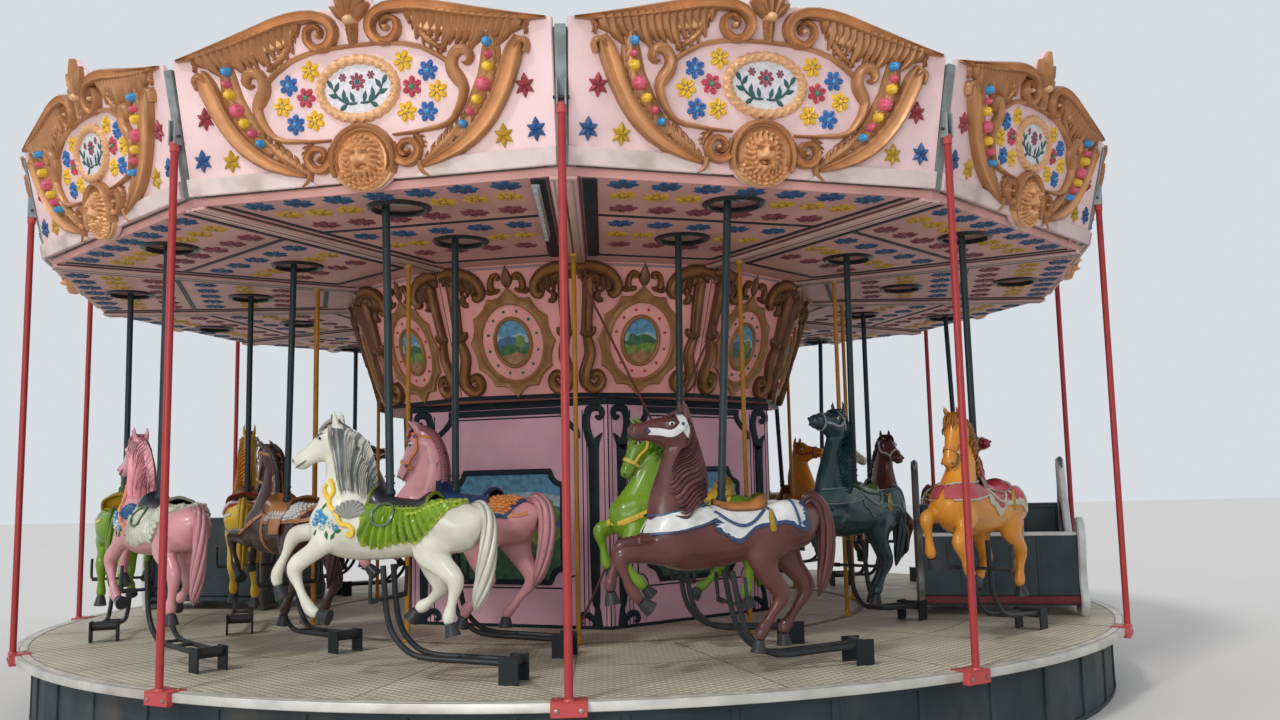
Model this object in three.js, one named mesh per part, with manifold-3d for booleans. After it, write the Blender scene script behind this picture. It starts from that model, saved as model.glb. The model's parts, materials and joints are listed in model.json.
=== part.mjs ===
// Fairground carousel: horses on floor-pivoted swing arms under a ring of carved rounding boards.
// Millimetres, Z up. Origin on the ground at the centre of rotation, one post of the ring at -Y.
import * as THREE from 'three';
import { mergeVertices } from 'three/addons/utils/BufferGeometryUtils.js';
import Module from 'manifold-3d';

const wasm = await Module();
wasm.setup();

// Driving sizes of the ride
const SECTORS = 12;
const SECTOR = (2 * Math.PI) / SECTORS;
const HALF = SECTOR / 2;
const GAP = 0.3;
const PLATFORM_TOP = 500;
const PLATFORM_RADIUS = 4500;
const RIM_BAND = { height: 50, thickness: 36 };
const DECK_THICKNESS = 56;
const ROUND_SEGMENTS = 64;
const SKIRT_SEGMENTS = 48;

const SKIRT = { outer: 4380, thickness: 40 };
const PIVOT_RADIUS = 600;

const POST = { radius: 22.5, ring: 4508, height: 3094, sides: 8 };
const BRACKET = { width: 185, drop: 70, depth: 34, back: 12, reach: 100, plate: 8 };
const WELD = 3;
const CLEVIS = { width: 56, height: 130, depth: 54, root: 4465 };

const INNER_POLE = { radius: 17, ring: 2447, sides: 8 };
const INNER_FOOT = { width: 50, thickness: 6 };
const BRACE = { size: 18, low: 110, high: 2650, buckle: 34, buckleLength: 190, buckleAt: 0.82 };

const CEILING_Z = PLATFORM_TOP + 2740;
const BOARD_BASE_Z = PLATFORM_TOP + 2789;
const CEILING_THICKNESS = BOARD_BASE_Z - GAP - CEILING_Z;
const CEILING_CORNER = 4366;
const OUTER_ROW = 3855;
const INNER_ROW = 2907;
const HOLE = { radius: 180, sides: 12 };

const BOARD = { base: 4415, top: 4582, height: 726, thickness: 30 };
const STRIP = { width: 150, depth: 80, thickness: 36, recess: 28, foot: 12 };

const ROOF = { wall: 4290, eaveZ: 3840, apexZ: 4930, capRadius: 260, thickness: 26 };
const CROWN = { top: 2125, bottom: 1800, sill: 1350, wall: 40, baseZ: PLATFORM_TOP + 1750 };
const DRUM = { radius: 1740, wall: 45, sides: 6, turn: THREE.MathUtils.degToRad(7.5) };

// Horse linkage, in the horse's own frame: x forward, y outward, z up from the deck below its hole
const PIVOT = new THREE.Vector3(-700, 0, 115);
const SADDLE_EYE = new THREE.Vector3(80, 0, 1030);
const POLE = { radius: 24, knuckle: 34, sides: 6, above: 150 };
const PAD = { seat: 0.5 };
const HUB = { radius: 34, halfLength: 84, pin: 14, bore: 17 };
const STAND = { length: 112, height: 150, plate: 12, inner: 85 };
const ARM = { size: 32, offset: 66 };
const FOOTREST = { x: 66, reach: 240, low: 424, high: 600, bar: 22 };

// Rest lift in degrees, pole top offset in millimetres and head pose of each horse, by sector and row
const HORSES = [
  { sector: 0, row: 'outer', lift: -3.5, top: 40, head: 'raised' },
  { sector: 0, row: 'inner', lift: 1.5, top: 30, head: 'bowed' },
  { sector: 1, row: 'outer', lift: 3.0, top: 50, head: 'bowed' },
  { sector: 1, row: 'inner', lift: 2.0, top: 20, head: 'raised' },
  { sector: 3, row: 'outer', lift: -2.0, top: 30, head: 'raised' },
  { sector: 3, row: 'inner', lift: 3.0, top: 40, head: 'level' },
  { sector: 4, row: 'outer', lift: 4.0, top: 60, head: 'level' },
  { sector: 4, row: 'inner', lift: -3.0, top: 40, head: 'raised' },
  { sector: 5, row: 'outer', lift: 0.0, top: 40, head: 'raised' },
  { sector: 5, row: 'inner', lift: 3.5, top: 30, head: 'bowed' },
  { sector: 6, row: 'outer', lift: -3.0, top: 50, head: 'level' },
  { sector: 6, row: 'inner', lift: 1.0, top: 20, head: 'raised' },
  { sector: 7, row: 'outer', lift: 3.0, top: 40, head: 'raised' },
  { sector: 7, row: 'inner', lift: -2.0, top: 50, head: 'level' },
  { sector: 9, row: 'outer', lift: -2.0, top: 40, head: 'level' },
  { sector: 9, row: 'inner', lift: 3.0, top: 30, head: 'raised' },
  { sector: 10, row: 'outer', lift: 2.0, top: 40, head: 'level' },
  { sector: 10, row: 'inner', lift: -1.0, top: 50, head: 'tucked' },
  { sector: 11, row: 'outer', lift: 2.0, top: 85, head: 'level' },
  { sector: 11, row: 'inner', lift: 2.5, top: 40, head: 'tucked' },
];
const CHARIOT_SECTORS = [2, 8];

// Chariot sizes: x forward, y outward from the middle between the two horse rows
const CHARIOT = {
  middle: 3560, halfWidth: 640, side: 60, joint: 5,
  floor: { rear: -500, front: 540, base: 80, top: 120 },
  dash: { rear: 500, front: 545, base: 90, top: 640 },
  bench: { rear: -440, front: 0, top: 430, thickness: 60, apron: 60 },
  back: { rear: -470, thickness: 50, top: 850 },
};

const COLOURS = {
  pink: 0xe8c6c4, ceilingPink: 0xc58a86, drumPink: 0xcf96ac, black: 0x14232a, red: 0xc83c40,
  mustard: 0xc08a1e, floor: 0xa89a7c, darkRed: 0x7a2a2c, silver: 0xa9adb0, canvas: 0xcfc8b8,
};

function paint(colour, roughness = 0.45, metalness = 0.0) {
  return new THREE.MeshStandardMaterial({ color: colour, roughness, metalness });
}

function mesh(name, geometry, material) {
  const piece = new THREE.Mesh(geometry, material);
  piece.name = name;
  return piece;
}

// Booleans: a position-only indexed geometry becomes a solid, and back
function solid(geometry) {
  const bare = geometry.clone();
  for (const attribute of ['normal', 'uv', 'uv1']) bare.deleteAttribute(attribute);
  const merged = mergeVertices(bare, 1e-3);
  return new wasm.Manifold(new wasm.Mesh({
    numProp: 3,
    vertProperties: new Float32Array(merged.attributes.position.array),
    triVerts: new Uint32Array(merged.index.array),
  }));
}

function geometryOf(shape) {
  const result = shape.getMesh();
  const geometry = new THREE.BufferGeometry();
  geometry.setAttribute('position', new THREE.BufferAttribute(new Float32Array(result.vertProperties), 3));
  geometry.setIndex(new THREE.BufferAttribute(new Uint32Array(result.triVerts), 1));
  geometry.computeVertexNormals();
  return geometry;
}

function joined(geometries) {
  return geometries.map(solid).reduce((whole, next) => whole.add(next));
}

function box(x0, x1, y0, y1, z0, z1) {
  return new THREE.BoxGeometry(x1 - x0, y1 - y0, z1 - z0)
    .translate((x0 + x1) / 2, (y0 + y1) / 2, (z0 + z1) / 2);
}

function upright(radius, z0, z1, sides) {
  return new THREE.CylinderGeometry(radius, radius, z1 - z0, sides)
    .rotateX(Math.PI / 2).translate(0, 0, (z0 + z1) / 2);
}

// A straight rod from one point to another
function rod(start, end, radius, sides) {
  const direction = end.clone().sub(start);
  const geometry = new THREE.CylinderGeometry(radius, radius, direction.length(), sides);
  const turn = new THREE.Quaternion().setFromUnitVectors(new THREE.Vector3(0, 1, 0), direction.normalize());
  const middle = start.clone().add(end).multiplyScalar(0.5);
  return geometry.applyQuaternion(turn).translate(middle.x, middle.y, middle.z);
}

// Turns a piece made along +X to its angle on the ring: 0 is -Y, positive towards +X
function onRing(geometry, angle) {
  return geometry.clone().rotateZ(angle - Math.PI / 2);
}

function ring(inner, outer, z0, z1, segments, turn = 0) {
  const profile = [[inner, z0], [outer, z0], [outer, z1], [inner, z1], [inner, z0]]
    .map(([r, z]) => new THREE.Vector2(r, z));
  return new THREE.LatheGeometry(profile, segments).rotateX(Math.PI / 2).rotateZ(turn);
}

function disc(radius, z0, z1, segments) {
  const profile = [[0, z0], [radius, z0], [radius, z1], [0, z1]].map(([r, z]) => new THREE.Vector2(r, z));
  return geometryOf(solid(new THREE.LatheGeometry(profile, segments).rotateX(Math.PI / 2)));
}

// Two cheek plates and the pin that the swing arms turn on, sunk a little into the deck
function standGeometry() {
  const half = STAND.length / 2;
  const outer = STAND.inner + STAND.plate;
  const reach = STAND.inner + STAND.plate / 2;
  return geometryOf(joined([
    box(-half, half, -outer, -STAND.inner, -WELD, STAND.height),
    box(-half, half, STAND.inner, outer, -WELD, STAND.height),
    new THREE.CylinderGeometry(HUB.pin, HUB.pin, 2 * reach, 6).translate(0, 0, PIVOT.z),
  ])).translate(PIVOT.x, 0, 0);
}

// The horse frame on the ring: heading is clockwise seen from above
function horseTurn(sector) {
  return (sector + 0.5) * SECTOR + Math.PI;
}

function horsePlace(sector, row) {
  const angle = (sector + 0.5) * SECTOR;
  const radius = row === 'outer' ? OUTER_ROW : INNER_ROW;
  return new THREE.Vector3(radius * Math.sin(angle), -radius * Math.cos(angle), PLATFORM_TOP);
}

function deckGeometry() {
  let shape = solid(disc(PLATFORM_RADIUS - RIM_BAND.thickness - GAP, PLATFORM_TOP - DECK_THICKNESS,
    PLATFORM_TOP, ROUND_SEGMENTS));
  const stand = standGeometry();
  for (const horse of HORSES) {
    const place = horsePlace(horse.sector, horse.row);
    const placed = stand.clone().rotateZ(horseTurn(horse.sector)).translate(place.x, place.y, place.z);
    shape = shape.add(solid(placed));
  }
  return geometryOf(shape);
}

// Steel rim band with its bolted brackets and the red posts they carry
function rimPostsGeometry() {
  const parts = [ring(PLATFORM_RADIUS - RIM_BAND.thickness, PLATFORM_RADIUS, PLATFORM_TOP - RIM_BAND.height,
    PLATFORM_TOP, ROUND_SEGMENTS)];
  const half = BRACKET.width / 2;
  const face = PLATFORM_RADIUS + BRACKET.depth;
  const plateBase = PLATFORM_TOP + GAP;
  const plateTop = plateBase + BRACKET.plate;
  const postTop = PLATFORM_TOP + POST.height;
  const bracket = slab([
    [PLATFORM_RADIUS - BRACKET.reach, plateBase], [PLATFORM_RADIUS - BRACKET.back, plateBase],
    [PLATFORM_RADIUS - BRACKET.back, PLATFORM_TOP - BRACKET.drop], [face, PLATFORM_TOP - BRACKET.drop],
    [face, plateTop], [PLATFORM_RADIUS - BRACKET.reach, plateTop],
  ], -half, half);
  for (let k = 0; k < SECTORS; k += 1) {
    const post = upright(POST.radius, plateTop - WELD, postTop, POST.sides).translate(POST.ring, 0, 0);
    parts.push(onRing(bracket, k * SECTOR), onRing(post, k * SECTOR));
  }
  return geometryOf(joined(parts));
}

function innerPole(k) {
  const pole = upright(INNER_POLE.radius, PLATFORM_TOP + GAP, CEILING_Z - GAP, INNER_POLE.sides);
  return onRing(pole.translate(INNER_POLE.ring, 0, 0), k * SECTOR);
}

function innerPolesGeometry() {
  const half = INNER_FOOT.width / 2;
  const parts = [ring(INNER_POLE.ring - half, INNER_POLE.ring + half, PLATFORM_TOP + GAP,
    PLATFORM_TOP + GAP + INNER_FOOT.thickness, SECTORS * 2)];
  for (let k = 0; k < SECTORS; k += 1) parts.push(innerPole(k));
  return geometryOf(joined(parts));
}

// Crossed stay rods with a turnbuckle on each, cut back just clear of the two poles they brace
function braceGeometry(k) {
  const at = (index, height) => {
    const angle = index * SECTOR;
    return new THREE.Vector3(INNER_POLE.ring * Math.sin(angle), -INNER_POLE.ring * Math.cos(angle),
      PLATFORM_TOP + height);
  };
  const rods = [[at(k, BRACE.low), at(k + 1, BRACE.high)], [at(k, BRACE.high), at(k + 1, BRACE.low)]];
  const parts = [];
  for (const [start, end] of rods) {
    const along = end.clone().sub(start).normalize();
    const centre = start.clone().lerp(end, BRACE.buckleAt);
    const reach = along.multiplyScalar(BRACE.buckleLength / 2);
    parts.push(rod(start, end, BRACE.size / 2, 4));
    parts.push(rod(centre.clone().sub(reach), centre.clone().add(reach), BRACE.buckle / 2, 4));
  }
  let shape = joined(parts);
  for (const index of [k, k + 1]) {
    const clear = upright(INNER_POLE.radius + GAP, PLATFORM_TOP, CEILING_Z, INNER_POLE.sides);
    shape = shape.subtract(solid(onRing(clear.translate(INNER_POLE.ring, 0, 0), index * SECTOR)));
  }
  return geometryOf(shape);
}

// Six-sided machine housing with an open head and foot, closed by the crown and the deck
function drumGeometry() {
  const foot = PLATFORM_TOP + GAP;
  return ring(DRUM.radius - DRUM.wall, DRUM.radius, foot, CROWN.baseZ - GAP, DRUM.sides, DRUM.turn);
}

// Flared crown panels on a flat sill ring
function crownGeometry() {
  const top = CEILING_Z - GAP;
  const profile = [
    [CROWN.sill, CROWN.baseZ], [CROWN.bottom, CROWN.baseZ], [CROWN.top, top], [CROWN.top - CROWN.wall, top],
    [CROWN.bottom - CROWN.wall, CROWN.baseZ + CROWN.wall], [CROWN.sill, CROWN.baseZ + CROWN.wall],
    [CROWN.sill, CROWN.baseZ],
  ].map(([r, z]) => new THREE.Vector2(r, z));
  return new THREE.LatheGeometry(profile, SECTORS).rotateX(Math.PI / 2);
}

// Twelve-sided ceiling with a round pole hole for each row in every sector
function ceilingGeometry() {
  const outline = new THREE.Shape();
  for (let k = 0; k < SECTORS; k += 1) {
    const x = CEILING_CORNER * Math.sin(k * SECTOR);
    const y = -CEILING_CORNER * Math.cos(k * SECTOR);
    if (k === 0) outline.moveTo(x, y);
    else outline.lineTo(x, y);
  }
  for (let k = 0; k < SECTORS; k += 1) {
    for (const radius of [OUTER_ROW, INNER_ROW]) {
      const angle = (k + 0.5) * SECTOR;
      const hole = new THREE.Path();
      for (let step = 0; step <= HOLE.sides; step += 1) {
        const turn = angle - (step * 2 * Math.PI) / HOLE.sides;
        const x = radius * Math.sin(angle) + HOLE.radius * Math.cos(turn);
        const y = -radius * Math.cos(angle) + HOLE.radius * Math.sin(turn);
        if (step === 0) hole.moveTo(x, y);
        else if (step < HOLE.sides) hole.lineTo(x, y);
        else hole.closePath();
      }
      outline.holes.push(hole);
    }
  }
  return new THREE.ExtrudeGeometry(outline, { depth: CEILING_THICKNESS, bevelEnabled: false })
    .translate(0, 0, CEILING_Z);
}

// Right half of the board outline across and up the slope: roundel at the foot, ogee head, volute and crest
const BOARD_HALF_OUTLINE = [
  [0, -66], [120, -45], [175, 0], [1112, 0], [1112, 772], [800, 820], [300, 962], [150, 950], [95, 1100],
  [0, 1145],
];

// Carving on the right half of a board: ridges as rows of across, up, half width and height
const CARVING = {
  lowerScroll: [[980, 650, 24, 45], [860, 460, 58, 62], [620, 170, 48, 57], [360, 55, 16, 35]],
  topScroll: [
    [1100, 770, 14, 35], [800, 822, 28, 55], [400, 912, 36, 66], [190, 900, 34, 68], [125, 805, 30, 61],
    [262, 790, 24, 56],
  ],
  innerScroll: [
    [655, 640, 26, 62], [570, 590, 34, 60], [620, 450, 32, 53], [560, 305, 22, 45], [200, 242, 11, 32],
  ],
  sideVolute: [[185, 190, 20, 46], [215, 100, 28, 56], [310, 110, 26, 57], [270, 192, 20, 52]],
  berries: [[795, 700, 40, 62], [770, 500, 62, 72], [620, 265, 34, 60]],
  wing: { outline: [[905, 762], [400, 866], [385, 735], [845, 700]], height: 36 },
};
const MEDALLION = { middle: 506, across: 228, up: 160, half: 24, height: 30, sides: 10 };
const MASK = { middle: 115, foot: 196, shoulder: 150, face: 72, height: 68, nose: 125, sides: 8 };
const CRESTING = [[0, 745, 50, 60], [0, 875, 92, 68], [0, 1100, 24, 44]];
const SUNK = 3;

// Closed tube through rings of equal length
function tube(rings, closed = false) {
  const sides = rings[0].length;
  const faces = [];
  const last = closed ? rings.length : rings.length - 1;
  for (let i = 0; i < last; i += 1) {
    const next = ((i + 1) % rings.length) * sides;
    for (let k = 0; k < sides; k += 1) {
      const m = (k + 1) % sides;
      faces.push(i * sides + k, next + m, i * sides + m, i * sides + k, next + k, next + m);
    }
  }
  const end = (rings.length - 1) * sides;
  for (let k = 1; !closed && k < sides - 1; k += 1) faces.push(0, k, k + 1, end, end + k + 1, end + k);
  const geometry = new THREE.BufferGeometry();
  geometry.setAttribute('position', new THREE.Float32BufferAttribute(rings.flat(2), 3));
  geometry.setIndex(faces);
  return geometry;
}

// Ridge of triangular section along rows of across, up, half width and height
function ridge(rows, side = 1) {
  const rings = rows.map(([s, t, half, height], i) => {
    const before = rows[Math.max(i - 1, 0)];
    const after = rows[Math.min(i + 1, rows.length - 1)];
    const run = new THREE.Vector2(side * (after[0] - before[0]), after[1] - before[1]).normalize();
    const section = [[1, -SUNK], [0, height], [-1, -SUNK]];
    return section.map(([u, h]) => [side * s + run.y * half * u, t - run.x * half * u, h]);
  });
  return tube(rings);
}

function medallionRing() {
  const { middle, across, up, half, height, sides } = MEDALLION;
  const rings = Array.from({ length: sides }, (unused, k) => {
    const angle = (k * 2 * Math.PI) / sides;
    const section = [[half, -SUNK], [0, height], [-half, -SUNK]];
    return section.map(([d, h]) => [(across + d) * Math.cos(angle), middle + (up + d) * Math.sin(angle), h]);
  });
  return tube(rings, true);
}

// Round shield with the raised middle of the mask
function maskGeometry() {
  const { middle, foot, shoulder, face, height, nose, sides } = MASK;
  const profile = [[0, -SUNK], [foot, -SUNK], [shoulder, height], [face, nose], [0, nose]]
    .map(([r, h]) => new THREE.Vector2(r, h));
  return new THREE.LatheGeometry(profile, sides).rotateX(Math.PI / 2).translate(0, middle, 0);
}

function carvingGeometries() {
  const { wing, ...ridges } = CARVING;
  const parts = [medallionRing(), maskGeometry(), ridge(CRESTING)];
  for (const side of [1, -1]) {
    for (const rows of Object.values(ridges)) parts.push(ridge(rows, side));
    const outline = new THREE.Shape(wing.outline.map(([s, t]) => new THREE.Vector2(side * s, t)));
    parts.push(new THREE.ExtrudeGeometry(outline, { depth: wing.height + SUNK, bevelEnabled: false })
      .translate(0, 0, -SUNK));
  }
  return parts;
}

function boardGeometry() {
  const left = BOARD_HALF_OUTLINE.slice(1, -1).reverse().map(([s, t]) => [-s, t]);
  const outline = new THREE.Shape([...BOARD_HALF_OUTLINE, ...left].map(([s, t]) => new THREE.Vector2(s, t)));
  const apothem = BOARD.base * Math.cos(HALF);
  const lean = Math.atan(((BOARD.top - BOARD.base) * Math.cos(HALF)) / BOARD.height);
  const panel = new THREE.ExtrudeGeometry(outline, { depth: BOARD.thickness, bevelEnabled: false })
    .translate(0, 0, -BOARD.thickness);
  const board = geometryOf(joined([panel, ...carvingGeometries()]));
  return board.rotateX(Math.PI / 2 + lean).translate(0, -apothem, BOARD_BASE_Z);
}

// Joint strip that stands on the ceiling corner behind two boards, and the clevis that holds the post head
function stripGeometries() {
  const top = BOARD_BASE_Z + BOARD.height - STRIP.foot;
  const half = STRIP.width / 2;
  const strip = slab([
    [BOARD.base - STRIP.recess - STRIP.depth, BOARD_BASE_Z], [BOARD.base - STRIP.recess, BOARD_BASE_Z],
    [BOARD.top - STRIP.recess, top], [BOARD.top - STRIP.recess - STRIP.thickness, top],
  ], -half, half);
  const postTop = PLATFORM_TOP + POST.height;
  const clevis = box(CLEVIS.root, POST.ring + CLEVIS.depth / 2, -CLEVIS.width / 2, CLEVIS.width / 2,
    postTop + GAP, postTop + CLEVIS.height);
  return [strip, clevis];
}

function boardsGeometry() {
  const board = boardGeometry();
  const parts = [];
  for (let k = 0; k < SECTORS; k += 1) {
    parts.push(board.clone().rotateZ((k + 0.5) * SECTOR));
    for (const piece of stripGeometries()) parts.push(onRing(piece, k * SECTOR));
  }
  return geometryOf(joined(parts));
}

function roofGeometry() {
  const slope = (ROOF.apexZ - ROOF.eaveZ) / (ROOF.wall - ROOF.capRadius);
  const drop = ROOF.thickness * Math.hypot(1, slope);
  const profile = [
    [0, ROOF.apexZ - drop], [ROOF.capRadius, ROOF.apexZ - drop],
    [ROOF.wall - ROOF.thickness, ROOF.eaveZ - drop + ROOF.thickness * slope],
    [ROOF.wall - ROOF.thickness, BOARD_BASE_Z], [ROOF.wall, BOARD_BASE_Z], [ROOF.wall, ROOF.eaveZ],
    [ROOF.capRadius, ROOF.apexZ], [0, ROOF.apexZ],
  ].map(([r, z]) => new THREE.Vector2(r, z));
  return geometryOf(solid(new THREE.LatheGeometry(profile, SECTORS).rotateX(Math.PI / 2)));
}

// Side outline in x and z, given a thickness across from y0 to y1
function slab(points, y0, y1) {
  const outline = new THREE.Shape(points.map(([x, z]) => new THREE.Vector2(x, z)));
  return new THREE.ExtrudeGeometry(outline, { depth: y1 - y0, bevelEnabled: false })
    .rotateX(Math.PI / 2).translate(0, y1, 0);
}

// Horse figure in the neutral pose, in side outline: trunk, tail, and the neck and head of each pose
const PAD_TOP = SADDLE_EYE.z - POLE.knuckle - PAD.seat;
const TRUNK = {
  half: 130,
  outline: [
    [124, PAD_TOP], [36, PAD_TOP], [-60, 965], [-280, 985], [-440, 950], [-510, 840], [-440, 700],
    [-100, 650], [330, 625], [520, 690], [565, 830], [520, 960],
  ],
};
const TAIL = {
  half: 48,
  outline: [[-400, 985], [-540, 930], [-580, 760], [-530, 400], [-460, 410], [-500, 720], [-430, 900]],
};
const NECKS = {
  raised: [
    [150, 930], [158, 1150], [185, 1320], [215, 1480], [340, 1450], [470, 1170], [560, 1020], [545, 860],
  ],
  level: [
    [150, 930], [165, 1080], [200, 1230], [300, 1380], [430, 1440], [500, 1300], [490, 1080], [530, 860],
  ],
  tucked: [
    [150, 930], [152, 1080], [166, 1200], [210, 1330], [310, 1410], [420, 1320], [430, 1120], [530, 860],
  ],
};
const HEADS = {
  raised: [
    [220, 1400], [240, 1530], [275, 1640], [300, 1550], [540, 1525], [590, 1470], [490, 1370], [350, 1310],
  ],
  level: [
    [390, 1300], [400, 1430], [455, 1470], [590, 1375], [705, 1290], [700, 1205], [640, 1180], [510, 1195],
  ],
  tucked: [
    [290, 1290], [290, 1400], [350, 1480], [420, 1370], [530, 1180], [520, 1085], [450, 1070], [370, 1220],
  ],
};
const NECK_HALF = 82;
const HEAD_HALF = 58;

// Centre lines of the near and far legs, front and rear, in each gait
const LEG = { width: 66, thickness: 62, middle: 92 };
const GAITS = {
  gallop: {
    near: [[[400, 760], [740, 770], [650, 530], [590, 470]], [[-320, 800], [-190, 450], [-30, 130]]],
    far: [[[400, 780], [690, 790], [755, 500]], [[-360, 800], [-455, 450], [-270, 130]]],
  },
  canter: {
    near: [[[400, 720], [620, 590], [500, 350], [390, 320]], [[-280, 780], [-375, 570], [-355, 280]]],
    far: [[[400, 760], [730, 750], [830, 520], [780, 400]], [[-260, 760], [-220, 500], [-40, 340]]],
  },
  walk: {
    near: [[[390, 740], [510, 600], [380, 440], [320, 345]], [[-280, 780], [-375, 570], [-355, 280]]],
    far: [[[400, 760], [600, 745], [570, 550], [510, 450]], [[-260, 760], [-220, 500], [-40, 340]]],
  },
};

// A bar of even width bent along a centre line in x and z
function bentBar(line, size, y0, y1) {
  const half = size / 2;
  const offsets = line.map((point, i) => {
    const before = line[Math.max(i - 1, 0)];
    const after = line[Math.min(i + 1, line.length - 1)];
    const run = new THREE.Vector2(after[0] - before[0], after[1] - before[1]).normalize();
    return [run.y * half, -run.x * half];
  });
  const under = line.map(([x, z], i) => [x + offsets[i][0], z + offsets[i][1]]);
  const over = line.map(([x, z], i) => [x - offsets[i][0], z - offsets[i][1]]);
  return slab([...under, ...over.reverse()], y0, y1);
}

// One swing arm: a bent bar from the hub forward under the figure and up to its belly
const ARM_LINE = [[-700, 115], [-180, 120], [20, 250], [80, 660]];

function armGeometry(side) {
  const middle = side * ARM.offset;
  return bentBar(ARM_LINE, ARM.size, middle - ARM.size / 2, middle + ARM.size / 2);
}

function legGeometries(gait) {
  const { near, far } = GAITS[gait];
  const inner = LEG.middle - LEG.thickness / 2;
  const outer = LEG.middle + LEG.thickness / 2;
  return [
    ...near.map((line) => bentBar(line, LEG.width, inner, outer)),
    ...far.map((line) => bentBar(line, LEG.width, -outer, -inner)),
  ];
}

// Footrest: a trough-shaped bar across both arms, with upright ends
function footrestGeometry() {
  const { x, reach, low, high, bar } = FOOTREST;
  const outline = new THREE.Shape([
    [-reach, high], [-reach, low], [reach, low], [reach, high],
    [reach - bar, high], [reach - bar, low + bar], [bar - reach, low + bar], [bar - reach, high],
  ].map(([y, z]) => new THREE.Vector2(y, z)));
  return new THREE.ExtrudeGeometry(outline, { depth: bar, bevelEnabled: false })
    .rotateX(Math.PI / 2).rotateZ(Math.PI / 2).translate(x - bar / 2, 0, 0);
}

function horseGeometry(head, gait) {
  const bore = new THREE.CylinderGeometry(HUB.bore, HUB.bore, 2 * HUB.halfLength + 10, 6)
    .translate(PIVOT.x, 0, PIVOT.z);
  const hub = box(PIVOT.x - HUB.radius, PIVOT.x + HUB.radius, -HUB.halfLength, HUB.halfLength,
    PIVOT.z - HUB.radius, PIVOT.z + HUB.radius);
  const figure = [
    slab(TRUNK.outline, -TRUNK.half, TRUNK.half), slab(TAIL.outline, -TAIL.half, TAIL.half),
    slab(NECKS[head], -NECK_HALF, NECK_HALF), slab(HEADS[head], -HEAD_HALF, HEAD_HALF),
    ...legGeometries(gait),
  ];
  return geometryOf(joined([...figure, hub, footrestGeometry(), armGeometry(-1), armGeometry(1)])
    .subtract(solid(bore)));
}

function liftedEye(lift) {
  const reach = SADDLE_EYE.clone().sub(PIVOT);
  return reach.applyAxisAngle(new THREE.Vector3(0, 1, 0), -THREE.MathUtils.degToRad(lift)).add(PIVOT);
}

// Pole with a round knuckle below its eye, leaning from the saddle eye to its place in the ceiling hole
function poleGeometry(length) {
  const profile = [[0, -POLE.knuckle], [POLE.radius, -POLE.radius * 0.9], [POLE.radius, length], [0, length]]
    .map(([r, z]) => new THREE.Vector2(r, z));
  return new THREE.LatheGeometry(profile, POLE.sides).rotateX(Math.PI / 2);
}

const horseGeometries = {
  raised: horseGeometry('raised', 'gallop'),
  level: horseGeometry('level', 'canter'),
  tucked: horseGeometry('tucked', 'gallop'),
  bowed: horseGeometry('tucked', 'walk'),
};

function horseAndPole(horse) {
  const name = `${String(horse.sector).padStart(2, '0')}_${horse.row}`;
  const unit = new THREE.Group();
  unit.position.copy(horsePlace(horse.sector, horse.row));
  unit.rotation.z = horseTurn(horse.sector);
  const swing = new THREE.Group();
  swing.position.copy(PIVOT);
  swing.rotation.y = -THREE.MathUtils.degToRad(horse.lift);
  const figure = mesh(`horse_${name}`, horseGeometries[horse.head], paint(COLOURS.pink, 0.3));
  figure.position.copy(PIVOT).negate();
  swing.add(figure);
  const eye = liftedEye(horse.lift);
  const rise = CEILING_Z - PLATFORM_TOP - eye.z;
  const run = horse.top - eye.x;
  const length = Math.hypot(rise, run) + POLE.above;
  const pole = mesh(`pole_${name}`, poleGeometry(length), paint(COLOURS.black, 0.4, 0.3));
  pole.position.copy(eye);
  pole.rotation.y = Math.atan2(run, rise);
  unit.add(swing, pole);
  return unit;
}

// Chariot: two scrolled sides on a floor, with a bench between them
const CHARIOT_SIDE = [
  [-520, 0], [-300, 0], [-250, 70], [260, 70], [330, 0], [560, 0], [620, 120], [560, 330], [600, 620],
  [520, 760], [420, 700], [400, 520], [240, 440], [0, 520], [-150, 760], [-240, 1010], [-330, 1240],
  [-430, 1230], [-420, 1000], [-520, 700], [-560, 300],
];

function chariotBody() {
  const { halfWidth, side, floor, dash } = CHARIOT;
  const inside = halfWidth - side + CHARIOT.joint;
  return geometryOf(joined([
    slab(CHARIOT_SIDE, -halfWidth, side - halfWidth),
    slab(CHARIOT_SIDE, halfWidth - side, halfWidth),
    box(floor.rear, floor.front, -inside, inside, floor.base, floor.top),
    box(dash.rear, dash.front, -inside, inside, dash.base, dash.top),
  ])).translate(0, 0, GAP);
}

function chariotSeat() {
  const { bench, back } = CHARIOT;
  const inside = CHARIOT.halfWidth - CHARIOT.side - GAP;
  const base = CHARIOT.floor.top + 2 * GAP;
  return geometryOf(joined([
    box(bench.rear, bench.front, -inside, inside, bench.top - bench.thickness, bench.top),
    box(bench.front - bench.apron, bench.front, -inside, inside, base, bench.top),
    box(back.rear, back.rear + back.thickness, -inside, inside, base, back.top),
  ]));
}

function chariot(sector) {
  const name = String(sector).padStart(2, '0');
  const unit = new THREE.Group();
  const angle = (sector + 0.5) * SECTOR;
  unit.position.set(CHARIOT.middle * Math.sin(angle), -CHARIOT.middle * Math.cos(angle), PLATFORM_TOP);
  unit.rotation.z = horseTurn(sector);
  unit.add(mesh(`chariot_${name}_body`, chariotBody(), paint(COLOURS.silver, 0.4, 0.3)));
  unit.add(mesh(`chariot_${name}_seat`, chariotSeat(), paint(COLOURS.black, 0.5)));
  return unit;
}

const carousel = new THREE.Group();

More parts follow.
